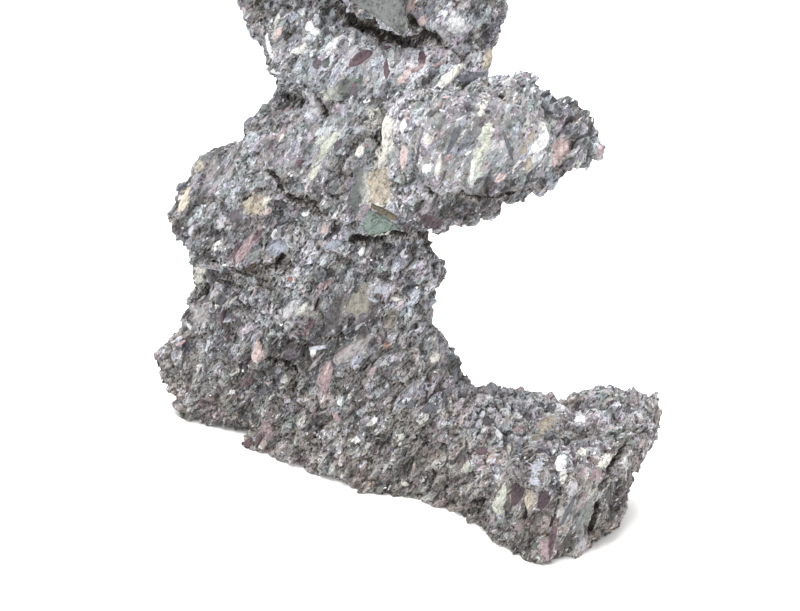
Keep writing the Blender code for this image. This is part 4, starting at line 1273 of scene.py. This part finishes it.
class Tree:
    """Short ways to add the nodes of one material."""

    def __init__(self, name):
        self.material = bpy.data.materials.new(name)
        self.material.use_nodes = True
        self.nodes = self.material.node_tree.nodes
        self.links = self.material.node_tree.links
        self.shader = self.nodes["Principled BSDF"]

    def node(self, kind, *inputs, **settings):
        """A node with these settings, and with its first inputs joined or set. None leaves an input."""
        made = self.nodes.new(kind)
        for name, value in settings.items():
            setattr(made, name, value)
        for socket, value in zip(made.inputs, inputs):
            self.feed(socket, value)
        return made

    def feed(self, socket, value):
        if isinstance(value, bpy.types.NodeSocket):
            self.links.new(value, socket)
        elif value is not None:
            socket.default_value = value

    def math(self, operation, *values):
        return self.node("ShaderNodeMath", *values, operation=operation).outputs[0]

    def times(self, first, second):
        return self.math("MULTIPLY", first, second)

    def vectors(self, operation, *values):
        """Vector maths on the values, of which a dot product gives a number."""
        made = self.node("ShaderNodeVectorMath", *values, operation=operation)
        return made.outputs[1 if operation == "DOT_PRODUCT" else 0]

    def mix(self, share, first, second, blend="MIX"):
        made = self.node("ShaderNodeMix", data_type="RGBA", blend_type=blend, clamp_factor=True)
        self.feed(made.inputs["Factor"], share)
        self.feed(made.inputs[6], first)
        self.feed(made.inputs[7], second)
        return made.outputs[2]

    def tinted(self, first, second):
        """The first colour multiplied by the second."""
        return self.mix(1.0, first, second, "MULTIPLY")

    def ramp(self, value, stops, interpolation="LINEAR"):
        """A colour ramp through stops of (position, colour)."""
        made = self.node("ShaderNodeValToRGB", value)
        made.color_ramp.interpolation = interpolation
        elements = made.color_ramp.elements
        while len(elements) < len(stops):
            elements.new(0.5)
        for element, (position, colour) in zip(elements, stops):
            element.position = position
            element.color = (*colour, 1.0)
        return made.outputs[0]

    def screen_ramp(self, value, *stops, interpolation="LINEAR"):
        """A colour ramp through stops of (position, red, green, blue) as the screen shows them."""
        return self.ramp(value, [(position, tint(*screen)) for position, *screen in stops], interpolation)

    def grey_ramp(self, value, *stops):
        """A ramp of greys through stops of (position, screen value)."""
        return self.ramp(value, [(position, tint(grey, grey, grey)) for position, grey in stops])

    def step(self, value, low, high):
        """0 below low and 1 above high, and smooth between them."""
        made = self.node("ShaderNodeMapRange", value, low, high, 0.0, 1.0, interpolation_type="SMOOTHSTEP")
        return made.outputs[0]

    def weighed(self, start, *parts):
        """The start plus each part of (value, its middle, its weight)."""
        total = start
        for value, middle, weight in parts:
            total = self.math("MULTIPLY_ADD", value, weight, self.math("ADD", total, -middle * weight))
        return total

    def place(self, along=GRAIN_LENGTH, out=GRAIN_THICKNESS):
        """The place on the stone in millimetres, stretched along the grain."""
        place = self.node("ShaderNodeTexCoord").outputs["Object"]
        parts = []
        for axis, stretch in ((GRAIN_ALONG, along), (GRAIN_ACROSS, 1.0), (GRAIN_NORMAL, out)):
            parts.append(self.vectors("DOT_PRODUCT", place, tuple(axis / (stretch * MM))))
        return self.node("ShaderNodeCombineXYZ", *parts).outputs[0]

    def warped(self, place, size, amount):
        """The place moved about, so that patterns lose their evenness."""
        wobble = self.node("ShaderNodeTexNoise", place, None, 1.0 / size, 2.0).outputs["Color"]
        centred = self.vectors("SUBTRACT", wobble, MIDDLE)
        scaled = self.node("ShaderNodeVectorMath", centred, operation="SCALE")
        scaled.inputs["Scale"].default_value = amount
        return self.vectors("ADD", place, scaled.outputs[0])

    def cells(self, place, size, feature="F1"):
        """A pattern of cells of this size in millimetres."""
        return self.node("ShaderNodeTexVoronoi", place, None, 1.0 / size, feature=feature)

    def facets(self, place, cells):
        """Height of the tilted flat facets on the cells, in millimetres."""
        reach = self.vectors("SUBTRACT", place, cells.outputs["Position"])
        tilt = self.vectors("SUBTRACT", cells.outputs["Color"], MIDDLE)
        return self.vectors("DOT_PRODUCT", reach, tilt)

    def height(self):
        """The height over the floor in millimetres."""
        place = self.node("ShaderNodeTexCoord").outputs["Object"]
        return self.vectors("DOT_PRODUCT", place, (0.0, 0.0, 1.0 / MM))

    def clouds(self, place, size, detail=3.0, roughness=0.5):
        """Soft noise of this size in millimetres, from 0 to 1."""
        return self.node("ShaderNodeTexNoise", place, None, 1.0 / size, detail, roughness).outputs[0]

    def split(self, colour):
        return self.node("ShaderNodeSeparateColor", colour).outputs

    def attribute(self, name, output):
        return self.node("ShaderNodeAttribute", attribute_name=name).outputs[output]

    def bumps(self, *layers):
        """Raise the surface by each layer of (height from 0 to 1, how high in millimetres)."""
        normal = None
        for height, distance in layers:
            bump = self.node("ShaderNodeBump")
            bump.inputs["Distance"].default_value = distance * MM
            self.links.new(height, bump.inputs["Height"])
            if normal is not None:
                self.links.new(normal, bump.inputs["Normal"])
            normal = bump.outputs[0]
        self.links.new(normal, self.shader.inputs["Normal"])


def tint4(red, green, blue):
    """A screen colour as a node's colour value."""
    return (*tint(red, green, blue), 1.0)


# Sizes of the breccia's patterns in millimetres: its fragments, the grains in
# them and the chips in those, and how strongly the patterns are warped.
FRAGMENT, GRAIN, CHIP = 4.2, 1.6, 0.75
WARP_SIZE, WARP = 6.0, 1.6

# Screen colours of what lies on the stone: dust, specks in its sandy places and the lines between grains,
# and the painted shade in the gaps between them.
DUST = (216, 217, 225)
SPECKS = (140, 124, 98)
LINES = (66, 64, 63)
GAP_SHADE = (53, 50, 48)

# A stain whose green is this much over its blue is sandy: from the first value
# on in part, and from the second on in full.
SANDY = (0.068, 0.074)

# The stone is warmest at its foot. Its warmth is even at this height, in
# millimetres, and rises by this much, which is less than nothing, for each one.
WARM_HEIGHT, WARM_RISE = 42.0, -0.0068


def breccia_material():
    """The granular grey mass of the stone, with its coloured areas and bits."""
    colours = {name: tuple(colour) for name, colour in stone_colours().items()}
    tree = Tree("breccia")
    place = tree.place()
    loose = tree.warped(place, WARP_SIZE, WARP)
    fragments = tree.cells(loose, FRAGMENT)
    fragment = tree.split(fragments.outputs["Color"])
    grains = tree.cells(loose, GRAIN)
    grain = tree.split(grains.outputs["Color"])
    chips = tree.cells(loose, CHIP)
    chip = tree.split(chips.outputs["Color"])
    edges = tree.cells(loose, GRAIN, "DISTANCE_TO_EDGE").outputs["Distance"]
    cloud = tree.clouds(place, 9.0, 7.0, 0.66)
    veil = tree.clouds(place, 30.0, 2.0)
    streak = tree.clouds(tree.place(7.0, 0.8), 1.3, 2.0)
    base = tree.attribute("tone", "Fac")
    calm = tree.attribute("calm", "Fac")

    # The grey mass: lighter and darker fragments, each with a cast of its own, and lighter and darker by
    # the tone, which carries painted light and shade.
    lively = tree.weighed(1.0, (calm, 0.0, -0.55))
    change = tree.weighed(
        0.0, (cloud, 0.5, 1.25), (veil, 0.5, 0.4), (fragment[0], 0.5, 0.42), (grain[0], 0.5, 0.13),
        (chip[0], 0.5, 0.06), (streak, 0.5, 0.34))
    tone = tree.math("MULTIPLY_ADD", change, lively, base)
    greys = tree.ramp(tree.math("ADD", tone, 0.5), [
        (0.05, tint(64, 62, 62)),
        (0.28, tint(112, 110, 111)),
        (0.50, colours["grey"]),
        (0.72, tint(189, 188, 192)),
        (0.95, tint(232, 232, 237)),
    ])
    casts = tree.screen_ramp(
        fragment[1], (0.0, 246, 255, 249), (0.20, 255, 253, 248), (0.45, 248, 252, 251),
        (0.62, 255, 244, 249), (0.75, 243, 248, 255), (0.88, 255, 249, 239), interpolation="CONSTANT")
    mass = tree.tinted(greys, casts)
    warmth = tree.weighed(
        0.5, (tree.clouds(place, 16.0), 0.5, 1.2), (tree.height(), WARM_HEIGHT, WARM_RISE))
    warm = tree.screen_ramp(
        warmth, (0.05, 247, 250, 255), (0.42, 252, 252, 255), (0.6, 255, 251, 247), (0.9, 255, 243, 232))
    leaf = tree.clouds(tree.place(1.2, 0.9), 12.0)
    green = tree.screen_ramp(leaf, (0.30, 247, 254, 249), (0.50, 253, 252, 253), (0.70, 255, 246, 250))
    mass = tree.tinted(tree.tinted(mass, warm), green)

    # Fragments of other stones, and pale dust.
    others = ((0.0, "dark lilac"), (0.2, "slate"), (0.42, "pink"), (0.55, "pale green"),
              (0.65, "maroon"), (0.76, "cream"), (0.86, "green grey"))
    strangers = tree.ramp(fragment[2], [(start, colours[stone]) for start, stone in others], "CONSTANT")
    mass = tree.mix(tree.times(tree.step(fragment[0], 0.87, 0.88), 0.5), mass, strangers)
    dust = tree.weighed(tree.clouds(loose, 2.6, 3.0, 0.6), (grain[1], 0.5, 0.16), (chip[1], 0.5, 0.08))
    sparkle = tree.weighed(dust, (veil, 0.5, 0.35), (base, 0.0, 0.25))
    dusty = tree.times(tree.step(sparkle, 0.62, 0.65), tree.times(lively, 0.9))
    mass = tree.mix(dusty, mass, tint4(*DUST))

    # The stains that are written on the mesh.
    stain = tree.attribute("stain", "Color")
    stain_parts = tree.split(stain)
    grit = tree.clouds(place, 1.2)
    wear = tree.weighed(0.5, (cloud, 0.5, 0.35), (grain[1], 0.5, 0.35), (streak, 0.5, 0.6))
    stained = tree.tinted(stain, tree.grey_ramp(wear, (0.1, 170), (0.5, 236), (0.9, 255)))
    sandy = tree.step(tree.math("SUBTRACT", stain_parts[1], stain_parts[2]), *SANDY)
    sand = tree.times(sandy, tree.step(tree.clouds(place, 0.8, 2.0), 0.50, 0.60))
    stained = tree.mix(tree.times(sand, 0.5), stained, tint4(*SPECKS))
    strength = tree.weighed(tree.attribute("stain", "Alpha"), (grit, 0.5, 0.9), (chip[2], 0.5, 0.2))
    shown = tree.step(strength, 0.42, 0.58)
    colour = tree.mix(shown, mass, stained)

    # Speckles, painted shade in the gaps between the grains, and painted shade with some dirt in the
    # hollows.
    speckle = tree.clouds(place, 0.5, 2.0)
    colour = tree.tinted(colour, tree.grey_ramp(speckle, (0.30, 203), (0.55, 248), (0.7, 255)))
    # Painted shade in the small pits between the grains.
    gaps = tree.weighed(
        tree.clouds(loose, 2.1, 3.0, 0.6), (grain[2], 0.5, 0.20), (chip[2], 0.5, 0.10), (calm, 0.0, 0.12))
    quiet = tree.weighed(1.0, (shown, 0.0, -0.7), (calm, 0.0, -0.3))
    gap = tree.times(tree.step(gaps, 0.42, 0.36), tree.times(quiet, 0.85))
    line = tree.times(tree.step(edges, 0.09, 0.02), tree.step(grit, 0.50, 0.42))
    # Painted shade, with some dirt, in the holes and cuts: darker the deeper they are.
    depth = tree.attribute("hollow", "Fac")
    shade_and_dirt_level = tree.weighed(
        0.5, (cloud, 0.5, 0.8), (grain[0], 0.5, 0.8), (chip[0], 0.5, 0.6), (depth, 0.7, -1.4))
    shade_and_dirt = tree.screen_ramp(shade_and_dirt_level, (0.2, 40, 36, 33), (0.5, 80, 75, 71), (0.8, 156, 152, 148))
    hollow = tree.times(tree.step(depth, 0.1, 0.7), 0.9)
    colour = tree.mix(tree.times(line, tree.times(quiet, 0.6)), colour, tint4(*LINES))
    colour = tree.mix(gap, colour, tint4(*GAP_SHADE))
    colour = tree.mix(hollow, colour, shade_and_dirt)
    tree.feed(tree.shader.inputs["Base Color"], colour)

    # Roughness of the grains, and their faces.
    roughness = [(start, (value,) * 3) for start, value in ((0.0, 0.9), (0.75, 0.75), (0.95, 0.55))]
    tree.feed(tree.shader.inputs["Roughness"], tree.ramp(grain[2], roughness))
    faces = tree.weighed(
        tree.facets(loose, grains), (tree.facets(loose, chips), 0.0, 1.0),
        (tree.facets(loose, fragments), 0.0, 0.5), (chip[1], 0.5, 0.12), (grain[1], 0.5, 0.25))
    tree.bumps((tree.times(faces, quiet), 1.35), (tree.step(gaps, 0.34, 0.44), 0.6), (speckle, 0.2))
    return tree.material


def crystal_material():
    """Pale crystals: bright and glossy, each in its own shade."""
    tree = Tree("crystal")
    place = tree.place()
    mottle = tree.clouds(place, 1.1)
    colour = tree.tinted(tree.attribute("stain", "Color"), tree.grey_ramp(mottle, (0.3, 205), (0.6, 255)))
    tree.feed(tree.shader.inputs["Base Color"], colour)
    tree.shader.inputs["Roughness"].default_value = 0.6
    tree.bumps((mottle, 0.3))
    return tree.material


# Operators

# How much of the relief a lens takes off the skin under it, how much painted light lightens high skin and
# painted shade darkens low skin for each millimetre, and how dark the painted shade and dirt in the holes
# are and from which depth on.
LENS_FLATTENING = 0.85
HEIGHT_LIGHT_AND_SHADE = 0.04
HOLE_SHADE_AND_DIRT = 0.7
HOLE_START = 0.4


class ROCK_OT_body(bpy.types.Operator):
    """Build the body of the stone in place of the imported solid"""

    bl_idname = "rock.body"
    bl_label = "Body"

    def execute(self, context):
        body = context.scene.rock_body
        mesh = skin_of(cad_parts[SOLID].data, body.cell, body.softening)
        skin = Skin(mesh)
        heights, holes = np.array([relief(Vector(point), body) for point in skin.points]).T
        shades = shaded(skin)
        bare = (1.0 - LENS_FLATTENING * under_lenses(skin)) * (1.0 - shades[:, QUIET])
        # Painted light on high skin and painted shade on low skin.
        shades[:, TONE_AND_LIGHT] += HEIGHT_LIGHT_AND_SHADE * heights * bare
        # Painted shade, with some dirt, in the holes of the relief.
        shades[:, HOLLOW] = HOLE_SHADE_AND_DIRT * ((holes * bare - HOLE_START) / HOLE_START).clip(0, 1)
        heights = heights * bare + spurred(skin)
        cut(skin, heights, shades)
        moved = skin.points + skin.normals * heights[:, None]
        stand_on_floor(mesh, moved)
        paint(mesh, shades)
        mesh = thinned(mesh, body.faces)
        stand_on_floor(mesh, vectors_of(mesh.vertices, "co") / MM)
        mesh.materials.clear()
        mesh.materials.append(breccia_material())
        piece = added("stone_body", mesh)
        dress(piece)
        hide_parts(SOLID)
        return {"FINISHED"}


def built_body():
    """The built body's skin and its material."""
    piece = bpy.data.objects.get("stone_body")
    if piece is None:
        raise RuntimeError("build the body first")
    skin = Skin(piece.data)
    skin.shades = painted(piece.data)
    return skin, piece.data.materials[0]


# How strong a lens's colour is at its middle, and how much weaker at its rim.
LENS_STRENGTH = 1.6
RIM_FADING = 1.07


class ROCK_OT_lenses(bpy.types.Operator):
    """Set the lenses of other stones where the photograph shows them"""

    bl_idname = "rock.lenses"
    bl_label = "Lenses"

    def execute(self, context):
        skin, material = built_body()
        colours = stone_colours()
        bits = Bits()
        for seed, (name, (stone, pixel, length, width, lean, proud)) in enumerate(LENSES.items()):
            place, normal, sight = skin.seen_at(pixel)
            if name in OUTLINES:
                rim = drawn_rim(place, normal, sight, pixel, OUTLINES[name])
            else:
                rim = oval_rim(leaning_axes(normal, sight, lean), length, width, seed)
            points, triangles, nearness = draped_lens(skin, place, normal, rim, proud, seed)
            shades = np.zeros((len(points), SHADE))
            shades[:, :3] = colours[stone]
            shades[:, STRENGTH] = (LENS_STRENGTH - RIM_FADING * nearness).clip(0, 1)
            bits.add(points, triangles, shades)
        dress(bits.object("lenses", material))
        return {"FINISHED"}


class ROCK_OT_grains(bpy.types.Operator):
    """Set crumbs, coloured flakes, pale crystals and larger splinters into the skin"""

    bl_idname = "rock.grains"
    bl_label = "Grains"

    def execute(self, context):
        settings = context.scene.rock_grains
        skin, material = built_body()
        crystal = crystal_material()
        share = 1.0
        for seed, (name, group) in enumerate(GRAINS.items()):
            number = int(getattr(settings, name) * share)
            bits = set_in(group, number, skin, settings.seed + seed)
            dress(bits.object(name, crystal if name == "crystals" else material))
        return {"FINISHED"}


# The lamps' widths and places in metres, and the point that they aim at.
LAMPS = (
    ("top light", "top_power", 1.2, (-0.15, 0.1, 1.45)),
    ("front light", "front_power", 2.4, (-0.35, -1.7, 0.8)))
LAMP_AIM = Vector((0.0, 0.0, 0.12))
FLOOR_CORNERS = 96
FLOOR_ROUGHNESS = 0.9


class ROCK_OT_stage(bpy.types.Operator):
    """Set the floor, the soft lights and the camera"""

    bl_idname = "rock.stage"
    bl_label = "Stage"

    def execute(self, context):
        stage = context.scene.rock_stage
        self.floor(stage)
        self.world(context, stage)
        for name, power, size, place in LAMPS:
            self.lamp(name, getattr(stage, power), size, place)
        camera = bpy.data.cameras.new("camera")
        camera.lens = stage.camera_lens
        camera.sensor_width = stage.sensor
        eye = added("camera", camera)
        eye.location = stage.camera_place
        eye.rotation_euler = (math.pi / 2 - stage.camera_fall, 0.0, 0.0)
        context.scene.camera = eye
        context.scene.view_settings.view_transform = "Standard"
        return {"FINISHED"}

    def floor(self, stage):
        bm = bmesh.new()
        bmesh.ops.create_circle(bm, cap_ends=True, segments=FLOOR_CORNERS, radius=stage.floor_size)
        mesh = bpy.data.meshes.new("floor")
        bm.to_mesh(mesh)
        bm.free()
        tree = Tree("pale floor")
        tree.shader.inputs["Roughness"].default_value = FLOOR_ROUGHNESS
        tree.shader.inputs["Base Color"].default_value = (*stage.floor_colour, 1.0)
        mesh.materials.append(tree.material)
        floor = added("floor", mesh)

    def world(self, context, stage):
        world = bpy.data.worlds.new("studio")
        world.use_nodes = True
        sky = world.node_tree.nodes["Background"]
        sky.inputs["Color"].default_value = (1.0, 1.0, 1.0, 1.0)
        sky.inputs["Strength"].default_value = stage.sky
        context.scene.world = world

    def lamp(self, name, power, size, place):
        light = bpy.data.lights.new(name, "AREA")
        light.energy = power
        light.size = size
        lamp = added(name, light)
        lamp.location = place
        lamp.rotation_euler = (LAMP_AIM - Vector(place)).to_track_quat("-Z", "Y").to_euler()


class ROCK_PT_tools(bpy.types.Panel):
    """Lists the steps that build the stone"""

    bl_label = "Rough Rock"
    bl_idname = "ROCK_PT_tools"
    bl_space_type = "VIEW_3D"
    bl_region_type = "UI"
    bl_category = "Rough Rock"

    def draw(self, context):
        for operator in OPERATORS:
            self.layout.operator(operator.bl_idname)
        for name in SETTINGS:
            box = self.layout.box()
            settings = getattr(context.scene, name)
            for prop in type(settings).__annotations__:
                box.prop(settings, prop)


SETTINGS = {
    "rock_body": BodySettings,
    "rock_colours": ColourSettings,
    "rock_grains": GrainSettings,
    "rock_stage": StageSettings,
}
OPERATORS = (ROCK_OT_stage, ROCK_OT_body, ROCK_OT_lenses, ROCK_OT_grains)
CLASSES = (*SETTINGS.values(), *OPERATORS, ROCK_PT_tools)


def register():
    for made in CLASSES:
        bpy.utils.register_class(made)
    for name, group in SETTINGS.items():
        setattr(bpy.types.Scene, name, bpy.props.PointerProperty(type=group))


def unregister():
    for name in SETTINGS:
        delattr(bpy.types.Scene, name)
    for made in reversed(CLASSES):
        bpy.utils.unregister_class(made)


def main():
    register()
    bpy.ops.rock.stage()
    bpy.ops.rock.body()
    bpy.ops.rock.lenses()
    bpy.ops.rock.grains()


if __name__ == "__main__":
    main()
